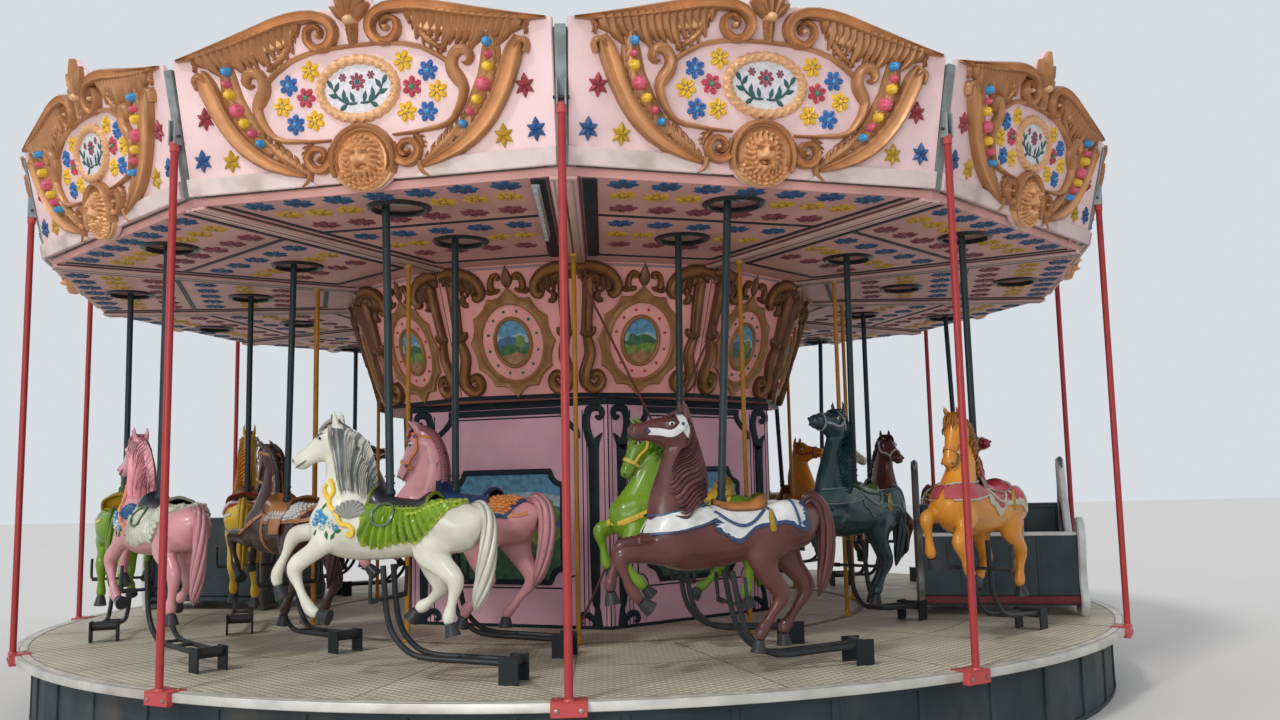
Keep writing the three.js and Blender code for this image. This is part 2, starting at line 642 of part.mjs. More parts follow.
const base = new THREE.Group();
const deckUnderside = PLATFORM_TOP - DECK_THICKNESS - GAP;
const skirt = ring(SKIRT.outer - SKIRT.thickness, SKIRT.outer, 0, deckUnderside, SKIRT_SEGMENTS);
base.add(mesh('skirt_ring', skirt, paint(COLOURS.black, 0.6)));
base.add(mesh('centre_bearing', disc(PIVOT_RADIUS, 0, deckUnderside, 16), paint(COLOURS.black, 0.6, 0.4)));
carousel.add(base);

const platform = new THREE.Group();
platform.add(mesh('deck', deckGeometry(), paint(COLOURS.floor, 0.6, 0.2)));
platform.add(mesh('rim_and_posts', rimPostsGeometry(), paint(COLOURS.red, 0.35)));
platform.add(mesh('inner_poles', innerPolesGeometry(), paint(COLOURS.mustard, 0.45)));
platform.add(mesh('stay_rods_front', braceGeometry(0), paint(COLOURS.darkRed, 0.5)));
platform.add(mesh('stay_rods_back', braceGeometry(6), paint(COLOURS.darkRed, 0.5)));
platform.add(mesh('centre_drum', drumGeometry(), paint(COLOURS.drumPink, 0.6)));
platform.add(mesh('crown', crownGeometry(), paint(COLOURS.ceilingPink, 0.5)));
platform.add(mesh('ceiling', ceilingGeometry(), paint(COLOURS.ceilingPink, 0.6)));
platform.add(mesh('rounding_boards', boardsGeometry(), paint(COLOURS.pink, 0.5)));
platform.add(mesh('roof_cover', roofGeometry(), paint(COLOURS.canvas, 0.7)));
for (const horse of HORSES) platform.add(horseAndPole(horse));
for (const sector of CHARIOT_SECTORS) platform.add(chariot(sector));
carousel.add(platform);

export default carousel;
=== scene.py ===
import json
import math
import random

import bmesh
import bpy
import numpy as np
from mathutils import Matrix, Vector
from mathutils.bvhtree import BVHTree


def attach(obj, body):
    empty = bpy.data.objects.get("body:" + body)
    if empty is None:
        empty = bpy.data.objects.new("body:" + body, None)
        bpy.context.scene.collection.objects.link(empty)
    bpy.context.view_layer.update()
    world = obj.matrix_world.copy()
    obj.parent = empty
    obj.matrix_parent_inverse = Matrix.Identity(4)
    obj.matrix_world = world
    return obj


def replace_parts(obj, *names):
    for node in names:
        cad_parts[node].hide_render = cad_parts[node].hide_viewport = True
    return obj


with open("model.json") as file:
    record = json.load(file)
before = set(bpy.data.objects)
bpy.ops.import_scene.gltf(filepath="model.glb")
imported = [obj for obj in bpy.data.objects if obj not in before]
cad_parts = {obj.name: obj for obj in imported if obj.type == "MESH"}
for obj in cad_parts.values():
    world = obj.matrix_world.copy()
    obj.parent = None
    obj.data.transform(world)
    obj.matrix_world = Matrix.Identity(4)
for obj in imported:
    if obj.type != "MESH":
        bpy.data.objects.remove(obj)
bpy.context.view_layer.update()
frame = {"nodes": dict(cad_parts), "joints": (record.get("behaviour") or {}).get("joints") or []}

# Driving sizes in metres, as in the frame
SECTORS = 12
SECTOR = 2 * math.pi / SECTORS
DECK_TOP = 0.5
CEILING = 3.24
BOARD_FOOT = 3.289
BOARD_BASE = 4.415
BOARD_TOP = 4.582
BOARD_HEIGHT = 0.726
BOARD_DEPTH = 0.03
POST_RING = 4.508
POLE_RING = 2.447
ROWS = {"outer": 3.855, "inner": 2.907}
CROWN_FOOT = 2.25
CROWN_RADII = (1.8, 2.125)
DRUM_RADIUS = 1.74
DRUM_TURN = math.radians(7.5)
DRUM_SECTOR = math.pi / 3
POST_TOP = 3.594
BEAM_ENDS = (2.12, 4.36)
ROOF_TOP = 4.93
ROOF_EDGE = 3.84
ROOF_RADII = (0.26, 4.29)
CHARIOT_MIDDLE = 3.56
UP = Vector((0, 0, 1))
TINY = 1e-9

# Share of its triangles that each kind of dense mesh keeps, and the gap that is welded first
KEEP = {"board": 0.36, "crown": 0.5, "body": 0.15, "hair": 0.45, "tack": 0.5}
WELD_GAP = 0.0003

# Camera solved from the rings of posts, board corners and pole holes; its turns in degrees
CAMERA_PLACE = (0.2, -10.163, 1.565)
CAMERA_YAW = 1.917
CAMERA_PITCH = 6.537
CAMERA_ROLL = -1.174
CAMERA_LENS = 30.98
SENSOR_WIDTH = 36.0

# Paint colours, linear
GOLD = (0.66, 0.33, 0.145)
BRONZE = (0.27, 0.125, 0.042)
PINK = (0.78, 0.56, 0.55)
CEILING_PINK = (0.64, 0.34, 0.31)
CROWN_PINK = (0.76, 0.33, 0.3)
MAUVE = (0.66, 0.37, 0.46)
CREAM = (0.72, 0.6, 0.57)
BLACK = (0.01, 0.02, 0.026)
RED = (0.42, 0.032, 0.034)
MUSTARD = (0.53, 0.245, 0.016)
FLOWER_BLUE = (0.02, 0.14, 0.42)
FLOWER_YELLOW = (0.8, 0.5, 0.02)
FLOWER_RED = (0.52, 0.05, 0.09)
BERRY_BLUE = (0.03, 0.3, 0.62)
BERRY_PINK = (0.66, 0.09, 0.16)
LEAF_GREEN = (0.03, 0.3, 0.12)
DARK_BLUE = (0.02, 0.09, 0.2)
DARK_YELLOW = (0.56, 0.33, 0.03)
DARK_ROSE = (0.22, 0.05, 0.07)


# Materials

def finish(name, colour, rough=0.45, metal=0.0, mottle=0.1, scale=6.0, dirt_and_shade=0.2, grime_and_shade=(0.06, 0.05, 0.04),
           bump=0.15, grain=60.0, coat=0.0, ridge_tone=0.0, wear_and_highlight_colour=(0.8, 0.75, 0.7), shine=0.3):
    """Painted or moulded surface: colour drift, grime patches, darker colour in hollows that is partly dirt
    and partly painted shade, fine grain, lighter ridges that are partly wear and partly painted highlight.
    """
    material = bpy.data.materials.get(name)
    if material:
        return material
    material = bpy.data.materials.new(name)
    material.use_nodes = True
    nodes, links = material.node_tree.nodes, material.node_tree.links
    shader = nodes["Principled BSDF"]
    shader.inputs["Metallic"].default_value = metal
    shader.inputs["Specular IOR Level"].default_value = shine
    shader.inputs["Coat Weight"].default_value = coat
    shader.inputs["Coat Roughness"].default_value = 0.15
    place = nodes.new("ShaderNodeTexCoord").outputs["Object"]

    def noise(size, detail=4.0):
        node = nodes.new("ShaderNodeTexNoise")
        node.inputs["Scale"].default_value = size
        node.inputs["Detail"].default_value = detail
        links.new(place, node.inputs["Vector"])
        return node.outputs["Fac"]

    def ramp(value, low, high, top=1.0):
        node = nodes.new("ShaderNodeMapRange")
        node.inputs["From Min"].default_value = low
        node.inputs["From Max"].default_value = high
        node.inputs["To Max"].default_value = top
        links.new(value, node.inputs["Value"])
        return node.outputs["Result"]

    def mix(factor, first, second):
        node = nodes.new("ShaderNodeMix")
        node.data_type = "RGBA"
        links.new(factor, node.inputs["Factor"])
        for socket, value in ((node.inputs["A"], first), (node.inputs["B"], second)):
            if isinstance(value, tuple):
                socket.default_value = (*value, 1)
            else:
                links.new(value, socket)
        return node.outputs["Result"]

    light = tuple(min(1.0, c * (1 + mottle) + mottle * 0.03) for c in colour)
    dark = tuple(c * (1 - mottle) for c in colour)
    tone = mix(ramp(noise(scale), 0.3, 0.7), dark, light)
    # Random patches are grime; the darker colour in hollows, found by pointiness, is partly dirt and partly
    # painted shade.
    if dirt_and_shade:
        tone = mix(ramp(noise(scale * 0.7, 8.0), 0.52, 0.75, dirt_and_shade), tone, grime_and_shade)
        point = nodes.new("ShaderNodeNewGeometry").outputs["Pointiness"]
        tone = mix(ramp(point, 0.497, 0.44, min(1.0, dirt_and_shade * 3)), tone, grime_and_shade)
    # Lighter colour on ridges, found by pointiness: partly wear and partly painted highlight.
    if ridge_tone:
        point = nodes.new("ShaderNodeNewGeometry").outputs["Pointiness"]
        tone = mix(ramp(point, 0.51, 0.6, ridge_tone), tone, wear_and_highlight_colour)
    links.new(tone, shader.inputs["Base Color"])
    links.new(ramp(noise(scale * 2.0), 0.2, 0.8), nodes.new("ShaderNodeMath").inputs[0])
    spread = nodes[-1]
    spread.operation = "MULTIPLY_ADD"
    spread.inputs[1].default_value = 0.18
    spread.inputs[2].default_value = rough - 0.09
    links.new(spread.outputs[0], shader.inputs["Roughness"])
    if bump:
        node = nodes.new("ShaderNodeBump")
        node.inputs["Strength"].default_value = bump
        node.inputs["Distance"].default_value = 0.002
        links.new(noise(grain), node.inputs["Height"])
        links.new(node.outputs["Normal"], shader.inputs["Normal"])
    return material


# Mesh making

def linked(name, data):
    """New object of the scene."""
    thing = bpy.data.objects.new(name, data)
    bpy.context.scene.collection.objects.link(thing)
    return thing


def modified(thing, name):
    """Mesh of an object with its modifiers applied; the object and its first mesh go."""
    bpy.context.view_layer.update()
    made = bpy.data.meshes.new_from_object(thing.evaluated_get(bpy.context.evaluated_depsgraph_get()))
    first = thing.data
    bpy.data.objects.remove(thing)
    bpy.data.meshes.remove(first)
    made.name = name
    return made


def thinned(mesh, keep):
    """The mesh welded, with a share of its triangles, fewest where it is flat."""
    thing = linked("thin", mesh)
    thing.modifiers.new("weld", "WELD").merge_threshold = WELD_GAP
    thing.modifiers.new("thin", "DECIMATE").ratio = keep
    return modified(thing, mesh.name)


class Shape:
    """Points and faces gathered from parts, each face with the paint it takes."""

    def __init__(self):
        self.points, self.faces, self.paints, self.count = [], [], [], 0

    def add(self, points, faces, paint, place=None):
        points = np.asarray(points, float)
        if place is not None:
            place = np.array(place)
            points = points @ place[:3, :3].T + place[:3, 3]
        self.points.append(points)
        self.faces.extend([i + self.count for i in face] for face in faces)
        self.paints.extend([paint] * len(faces))
        self.count += len(points)

    def include(self, other, place=None, mirror=False):
        """Adds another shape with its paints, mirrored left to right if asked."""
        points, faces = np.vstack(other.points), other.faces
        if mirror:
            points = points * (-1, 1, 1)
            faces = [face[::-1] for face in faces]
        self.add(points, faces, None, place)
        self.paints[len(self.paints) - len(faces):] = other.paints

    def mesh(self, name, crease=38, keep=1.0):
        paints = sorted(set(self.paints), key=lambda m: m.name)
        mesh = bpy.data.meshes.new(name)
        mesh.from_pydata(np.vstack(self.points).tolist(), [], self.faces)
        for paint in paints:
            mesh.materials.append(paint)
        mesh.polygons.foreach_set("material_index", [paints.index(p) for p in self.paints])
        if keep < 1.0:
            mesh = thinned(mesh, keep)
        mesh.shade_smooth()
        mesh.set_sharp_from_angle(angle=math.radians(crease))
        mesh.validate()
        return mesh


def axes(x, y, z, origin):
    """Place from its three axes and its origin."""
    return Matrix([(x[i], y[i], z[i], origin[i]) for i in range(3)] + [(0, 0, 0, 1)])


def outward(angle):
    """Level directions at an angle round the ring from the front: out, and to the right seen from outside."""
    return Vector((math.sin(angle), -math.cos(angle), 0)), Vector((math.cos(angle), math.sin(angle), 0))


def on_ring(angle):
    """Place at the centre: x outward at an angle round the ring, y to the right seen from outside, z up."""
    out, side = outward(angle)
    return axes(out, side, UP, (0, 0, 0))


def panel_place(angle, apothem, foot, lean=0.0):
    """Panel coordinates s to the right, t up, h out, for a flat face that leans outward at the top."""
    out, across = outward(angle)
    up = out * math.sin(lean) + UP * math.cos(lean)
    face = out * math.cos(lean) - UP * math.sin(lean)
    return axes(across, up, face, out * apothem + UP * foot)


def deck_place(sector, radius):
    """Place on the deck in the middle of a sector: x the way the ride turns, y outward, z up."""
    out, side = outward((sector + 0.5) * SECTOR)
    return axes(-side, out, UP, out * radius + UP * DECK_TOP)


def piece(name, mesh, body, place=None):
    thing = linked(name, mesh)
    if place is not None:
        thing.matrix_world = place
    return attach(thing, body)


def smooth(rows, steps=6):
    """Catmull-Rom through rows of numbers: positions and the sizes that go with them."""
    rows = np.asarray(rows, float)
    ends = np.vstack([2 * rows[0] - rows[1], rows, 2 * rows[-1] - rows[-2]])
    made = []
    for a, b, c, d in zip(ends[:-3], ends[1:-2], ends[2:-1], ends[3:]):
        for step in range(steps):
            t = step / steps
            made.append(0.5 * (2 * b + (c - a) * t + (2 * a - 5 * b + 4 * c - d) * t * t
                               + (3 * b - a - 3 * c + d) * t ** 3))
    made.append(rows[-1])
    return np.array(made)


def skin(rings, closed=False, caps=True):
    """Points and faces of a tube through rings of equal length."""
    rings = np.asarray(rings, float)
    count, sides = rings.shape[:2]
    faces = []
    for i in range(count if closed else count - 1):
        j = (i + 1) % count
        for k in range(sides):
            m = (k + 1) % sides
            faces.append([i * sides + k, i * sides + m, j * sides + m, j * sides + k])
    if caps and not closed:
        faces.append(list(range(sides))[::-1])
        faces.append([(count - 1) * sides + k for k in range(sides)])
    return rings.reshape(-1, 3), faces


def grid_faces(rows, columns):
    """Faces of a grid of points, row after row."""
    return [[i * columns + k, i * columns + k + 1, (i + 1) * columns + k + 1, (i + 1) * columns + k]
            for i in range(rows - 1) for k in range(columns - 1)]


def circle(sides):
    angles = np.arange(sides) * 2 * math.pi / sides
    return np.stack([np.cos(angles), np.sin(angles)], 1)


def unit(rows):
    """Rows of a direction each, brought to length one."""
    return rows / (np.linalg.norm(rows, axis=1)[:, None] + TINY)


def frames(path, across):
    """Side and normal along a path, with the side kept near the given direction."""
    tangent = unit(np.gradient(path, axis=0))
    side = unit(np.asarray(across, float) - tangent * (tangent @ np.asarray(across, float))[:, None])
    return side, np.cross(tangent, side)


def right_of(along):
    """Directions to the right of rows of directions in a panel."""
    return np.stack([along[:, 1], -along[:, 0]], 1)


def outline_right(outline):
    """Directions to the right of a closed outline at its points, outward where it runs anticlockwise."""
    return unit(right_of(np.roll(outline, -1, 0) - np.roll(outline, 1, 0)))


def loft(rows, sides=10, across=(0, 1, 0), steps=4):
    """Tube along rows of x, y, z, half size in the plane, half size across."""
    rows = smooth(rows, steps) if steps > 1 else np.asarray(rows, float)
    side, normal = frames(rows[:, :3], across)
    section = circle(sides)
    rings = (rows[:, None, :3] + side[:, None] * section[None, :, 1:2] * rows[:, None, 4:5]
             + normal[:, None] * section[None, :, 0:1] * rows[:, None, 3:4])
    return skin(rings)


def rod(start, end, radius, sides=12, end_radius=None):
    across = (0, 0, 1) if abs(start[2] - end[2]) < 0.9 * math.dist(start, end) else (1, 0, 0)
    end_radius = radius if end_radius is None else end_radius
    return loft([(*start, radius, radius), (*end, end_radius, end_radius)], sides, across, steps=1)


def lathe(profile, sides):
    """Surface of revolution about Z; the profile is closed rows of radius and height."""
    ring = circle(sides)
    rings = [[(r * x, r * y, z) for r, z in profile] for x, y in ring]
    points, faces = skin(rings, closed=True)
    faces = [face[::-1] for face in faces]
    return points, faces


def flat_ring(inner, outer, low, high, sides):
    """Ring of rectangular section about Z, or a disc."""
    return lathe([(inner, low), (outer, low), (outer, high), (inner, high)], sides)


def block(low, high, bevel=0.0):
    """Box with chamfered upright and level edges."""
    b = bevel
    (x0, y0, z0), (x1, y1, z1) = low, high

    def outline(inset, z):
        c = b + inset
        return [(x0 + c, y0 + inset, z), (x1 - c, y0 + inset, z), (x1 - inset, y0 + c, z),
                (x1 - inset, y1 - c, z),
                (x1 - c, y1 - inset, z), (x0 + c, y1 - inset, z), (x0 + inset, y1 - c, z),
                (x0 + inset, y0 + c, z)]

    if not b:
        ring = [[(x0, y0, z), (x1, y0, z), (x1, y1, z), (x0, y1, z)] for z in (z0, z1)]
        return skin(ring)
    return skin([outline(b, z0), outline(0, z0 + b), outline(0, z1 - b), outline(b, z1)])


def plate(outline, low, high, bevel=0.004):
    """Flat plate in panel coordinates with a chamfered face edge; the outline runs anticlockwise."""
    outline = np.asarray(outline, float)
    out = outline_right(outline)
    rings = []
    for inset, height in ((0, low), (0, high - bevel), (bevel, high)):
        ring = outline - out * inset
        rings.append(np.column_stack([ring, np.full(len(ring), height)]))
    return skin(rings)


# Relief carving in panel coordinates: s across, t up the panel, h proud of it

ARCH = [(math.cos(a), max(0.0, math.sin(a))) for a in np.linspace(math.pi, 0, 7)]
CREST = [(-1, 0), (-0.8, 0.55), (-0.35, 0.75), (0, 1.0), (0.35, 0.75), (0.8, 0.55), (1, 0)]
COVE = [(-1, 0), (-0.95, 0.8), (-0.7, 1.0), (-0.45, 0.7), (0.0, 0.45), (0.35, 0.6), (0.6, 0.95),
        (0.85, 0.8), (1, 0)]
FLAT = [(-1, 0), (-1, 0.8), (-0.8, 1.0), (0.8, 1.0), (1, 0.8), (1, 0)]


def band(shape, rows, paint, section=ARCH, base=0.0, steps=5):
    """Ridge that follows rows of s, t, half width, height."""
    rows = smooth(rows, steps)
    rings = []
    for (s, t, half, height), (a, b) in zip(rows, right_of(unit(np.gradient(rows[:, :2], axis=0)))):
        rings.append([(s + a * half * u, t + b * half * u, base + height * v) for u, v in section])
    points, faces = skin(rings)
    shape.add(points, [face[::-1] for face in faces], paint)


def mirrored(rows, side, wide=1.0):
    """Rows of s, t, half width, height for one side of a panel."""
    return [(side * s, t, half * wide, height) for s, t, half, height in rows]


def dome(shape, s, t, rs, rt, height, paint, base=0.0, rings=3, sides=10):
    levels = np.linspace(0, math.pi / 2, rings + 1)[:-1]
    made = [[(s + rs * math.cos(a) * x, t + rt * math.cos(a) * y, base + height * math.sin(a))
             for x, y in circle(sides)] for a in levels]
    points, faces = skin(made, caps=False)
    points = np.vstack([points, [(s, t, base + height)]])
    last = (len(levels) - 1) * sides
    faces += [[last + k, last + (k + 1) % sides, len(points) - 1] for k in range(sides)]
    shape.add(points, faces, paint)


def star(shape, s, t, radius, paint, centre, petals=6, turn=0.0, height=0.3, base=0.0, curl=0.0):
    """Star flower: kite petals with a groove down each, and a round middle."""
    points, faces = [], []
    for k in range(petals):
        a = turn + k * 2 * math.pi / petals
        wide = math.pi / petals * 0.98
        corners = [(0.6, -wide, 0.0), (0.86, -wide * 0.62, 0.0), (1.0, curl, 0.0), (0.86, wide * 0.62, 0.0),
                   (0.6, wide, 0.0), (0.72, -wide * 0.42, 0.9), (0.72, wide * 0.42, 0.9), (0.7, 0.0, 0.45),
                   (0.4, -wide * 0.8, 0.75), (0.4, wide * 0.8, 0.75), (0.2, 0.0, 0.5)]
        start = len(points)
        for r, turn_by, h in corners:
            points.append((s + radius * r * math.cos(a + turn_by), t + radius * r * math.sin(a + turn_by),
                           base + radius * height * h))
        for face in ([0, 1, 5, 8], [1, 2, 5], [2, 7, 5], [2, 6, 7], [2, 3, 6], [3, 4, 9, 6], [8, 5, 7, 10],
                     [10, 7, 6, 9]):
            faces.append([start + i for i in face])
    shape.add(points, faces, paint)
    dome(shape, s, t, radius * 0.27, radius * 0.27, radius * height * 1.15, centre, base, rings=2, sides=8)


def lily(shape, s, t, radius, paint):
    """Six-lobed bud with a waist band."""
    for angle, length, wide in ((90, 1.0, 0.3), (28, 0.86, 0.24), (152, 0.86, 0.24),
                                (270, 1.0, 0.25), (322, 0.94, 0.23), (218, 0.94, 0.23)):
        a = math.radians(angle)
        x, y = math.cos(a), math.sin(a)
        rows = [(s, t, radius * 0.12, radius * 0.2),
                (s + 0.5 * length * radius * x, t + 0.5 * length * radius * y, radius * wide, radius * 0.36),
                (s + length * radius * x, t + length * radius * y, radius * 0.04, radius * 0.12)]
        band(shape, rows, paint, CREST, steps=4)
    band(shape, [(s - radius * 0.2, t, radius * 0.08, radius * 0.42),
                 (s + radius * 0.2, t, radius * 0.08, radius * 0.42)], paint, steps=2)


def acanthus(shape, spine, paint, lobes, sweep=0.9, thick=0.022, base=0.0):
    """Leaf with curved lobes on its spine: rows of s, t, lobe length."""
    path = smooth([(*row, 0) for row in spine], 8)
    along = unit(np.gradient(path[:, :2], axis=0))
    band(shape, [(s, t, max(0.004, reach * 0.35), thick * 1.2) for s, t, reach, _ in path[::4]], paint, CREST,
         base, steps=3)
    for i in range(lobes):
        at = int((i + 0.6) / lobes * (len(path) - 1))
        s, t, reach, _ = path[at]
        for side in (1, -1):
            lean = math.atan2(along[at][1], along[at][0]) + side * sweep
            bend = lean - side * 0.5
            middle = (s + 0.55 * reach * math.cos(lean), t + 0.55 * reach * math.sin(lean))
            tip = (s + 0.6 * reach * math.cos(lean) + 0.45 * reach * math.cos(bend),
                   t + 0.6 * reach * math.sin(lean) + 0.45 * reach * math.sin(bend))
            rows = [(s, t, reach * 0.16, thick), (*middle, reach * 0.17, thick * 0.95),
                    (*tip, reach * 0.02, thick * 0.3)]
            band(shape, rows, paint, CREST, base, steps=3)


def oval(s, t, rs, rt, count=48):
    return [(s + rs * x, t + rt * y) for x, y in circle(count)]


def oval_band(shape, s, t, rs, rt, half, height, paint):
    rings = []
    for x, y in circle(48):
        length = math.hypot(x / rs, y / rt)
        a, b = x / rs / length, y / rt / length
        rings.append([(s + rs * x + a * half * u, t + rt * y + b * half * u, height * v) for u, v in ARCH])
    points, faces = skin(rings, closed=True)
    shape.add(points, faces, paint)


# Rounding boards

BOARD_EDGE = [(0.0, 1.12), (0.06, 1.06), (0.115, 1.02), (0.13, 0.95), (0.17, 0.955), (0.27, 0.955),
              (0.4, 0.935), (0.6, 0.885), (0.8, 0.84), (1.0, 0.8)]


def board_outline():
    edge = smooth(BOARD_EDGE, 4)
    right = [(s, t) for s, t in edge] + [(1.14, 0.772), (1.112, 0.0), (0.185, 0.0)]
    arc = [(0.198 * math.cos(a), 0.11 + 0.17 * math.sin(a)) for a in np.radians(np.arange(-38, -90, -9))]
    half = right + arc
    whole = half + [(0.0, -0.06)] + [(-s, t) for s, t in half[:0:-1]]
    return whole[::-1]


def board_panel():
    shape = Shape()
    pink = finish("board_pink", PINK, rough=0.42, mottle=0.07, scale=3.0, dirt_and_shade=0.22, grime_and_shade=(0.3, 0.2, 0.16))
    cream = finish("board_lip", (0.65, 0.52, 0.49), rough=0.55, mottle=0.1, scale=5.0, dirt_and_shade=0.55,
                   grime_and_shade=(0.22, 0.14, 0.08))
    shape.add(*plate(board_outline(), -BOARD_DEPTH, 0.0, 0.006), pink)
    for side in (1, -1):
        lip = [(0.3, -0.004), (1.112, -0.004), (1.118, 0.098), (0.62, 0.098), (0.46, 0.09), (0.36, 0.05)]
        lip = lip if side == 1 else [(-s, t) for s, t in lip[::-1]]
        shape.add(*plate(lip, 0.0, 0.022, 0.006), cream)
    return shape.mesh("board_panel")


def mask_relief(x, y):
    """Height of the lion mask over its shield: face, mane in two rings of locks, curls below."""
    def bump(s, t, rs, rt, height, power=1):
        return height * np.exp(-(((x - s) / rs) ** 2 + ((y - t) / rt) ** 2) ** power)

    def rise(value, low, high):
        u = np.clip((value - low) / (high - low), 0, 1)
        return u * u * (3 - 2 * u)

    angle, reach = np.arctan2(x, y - 0.008), np.hypot(x * 1.08, y - 0.008)
    height = bump(0, 0.01, 0.07, 0.086, 0.052, 2)
    locks = 0.5 + 0.5 * np.cos(17 * angle + 1.6 * np.sin(reach * 90))
    height += rise(reach, 0.06, 0.078) * (1 - rise(reach, 0.094, 0.112)) * (0.016 + 0.026 * locks)
    locks = 0.5 + 0.5 * np.cos(21 * angle + 1.8 * np.sin(reach * 75 + 1))
    height += rise(reach, 0.094, 0.106) * (1 - rise(reach, 0.126, 0.142)) * (0.006 + 0.024 * locks)
    row = np.floor((reach - 0.1) / 0.026)
    curls = np.abs(np.cos(13 * angle * (1 + 0.1 * row) + 1.5 * row))
    curls *= np.abs(np.sin((reach - 0.1) / 0.026 * np.pi))
    below = rise(-y, 0.035, 0.075) * rise(reach, 0.092, 0.104) * (1 - rise(np.hypot(x, y), 0.162, 0.176))
    height = np.maximum(height, below * (0.008 + 0.03 * curls))
    height += bump(0, 0.04, 0.013, 0.034, 0.02) + bump(0, 0.008, 0.019, 0.011, 0.026)
    for side in (1, -1):
        height += (bump(side * 0.027, 0.056, 0.022, 0.008, 0.017)
                   + bump(side * 0.046, 0.012, 0.018, 0.022, 0.013))
        height += (bump(side * 0.028, 0.037, 0.008, 0.006, 0.012)
                   - bump(side * 0.029, 0.038, 0.016, 0.01, 0.02))
        height += (bump(side * 0.022, -0.008, 0.02, 0.013, 0.02)
                   + bump(side * 0.056, 0.072, 0.013, 0.013, 0.02))
    height -= bump(0, -0.036, 0.03, 0.017, 0.062, 2)
    height += bump(0, -0.062, 0.03, 0.008, 0.02) + bump(0, -0.074, 0.022, 0.014, 0.016)
    return 0.029 + height


def lion_mask(shape, paint, mouth):
    """Traditional lion mask on a round shield, under an arched hood."""
    middle = 0.115
    shield = [(0.196 * x, middle + (0.196 if y > 0 else 0.176) * y) for x, y in circle(40)]
    shape.add(*plate(shield, 0.0, 0.03), paint)
    for radius, half, height in ((0.186, 0.017, 0.066), (0.156, 0.01, 0.052)):
        arc = [(radius * math.cos(a), middle + radius * 1.02 * math.sin(a), half, height)
               for a in np.linspace(math.radians(-25), math.radians(205), 15)]
        band(shape, arc, paint, steps=2)
    ticks = np.linspace(-0.174, 0.174, 60)
    x, y = np.meshgrid(ticks, ticks)
    inside = np.hypot(x, y) < 0.174
    points = np.stack([x, y + middle, mask_relief(x, y)], 2).reshape(-1, 3)
    faces = [face for face in grid_faces(len(ticks), len(ticks)) if inside.ravel()[face].all()]
    used = sorted({k for face in faces for k in face})
    order = {k: n for n, k in enumerate(used)}
    first = len(shape.faces)
    shape.add(points[used], [[order[k] for k in face] for face in faces], paint)
    for n, face in enumerate(faces):
        s, t = points[face, :2].mean(0)
        if (s / 0.026) ** 2 + ((t - middle + 0.036) / 0.014) ** 2 < 1:
            shape.paints[first + n] = mouth


def rope_ring(shape, s, t, rs, rt, radius, paint, strands, count, sides=7):
    rings = []
    for k in range(count):
        a = k * 2 * math.pi / count
        x, y = math.cos(a), math.sin(a)
        out = np.array([x / rs, y / rt]) / math.hypot(x / rs, y / rt)
        ring = []
        for v in range(sides):
            b = math.pi * v / (sides - 1)
            swell = 1 + 0.17 * math.sin(strands * a + 3.6 * b)
            u = -math.cos(b) * radius * swell
            rise = radius * 1.1 * swell * math.sin(b)
            ring.append((s + rs * x + out[0] * u, t + rt * y + out[1] * u, rise))
        rings.append(ring)
    points, faces = skin(rings, closed=True)
    shape.add(points, faces, paint)


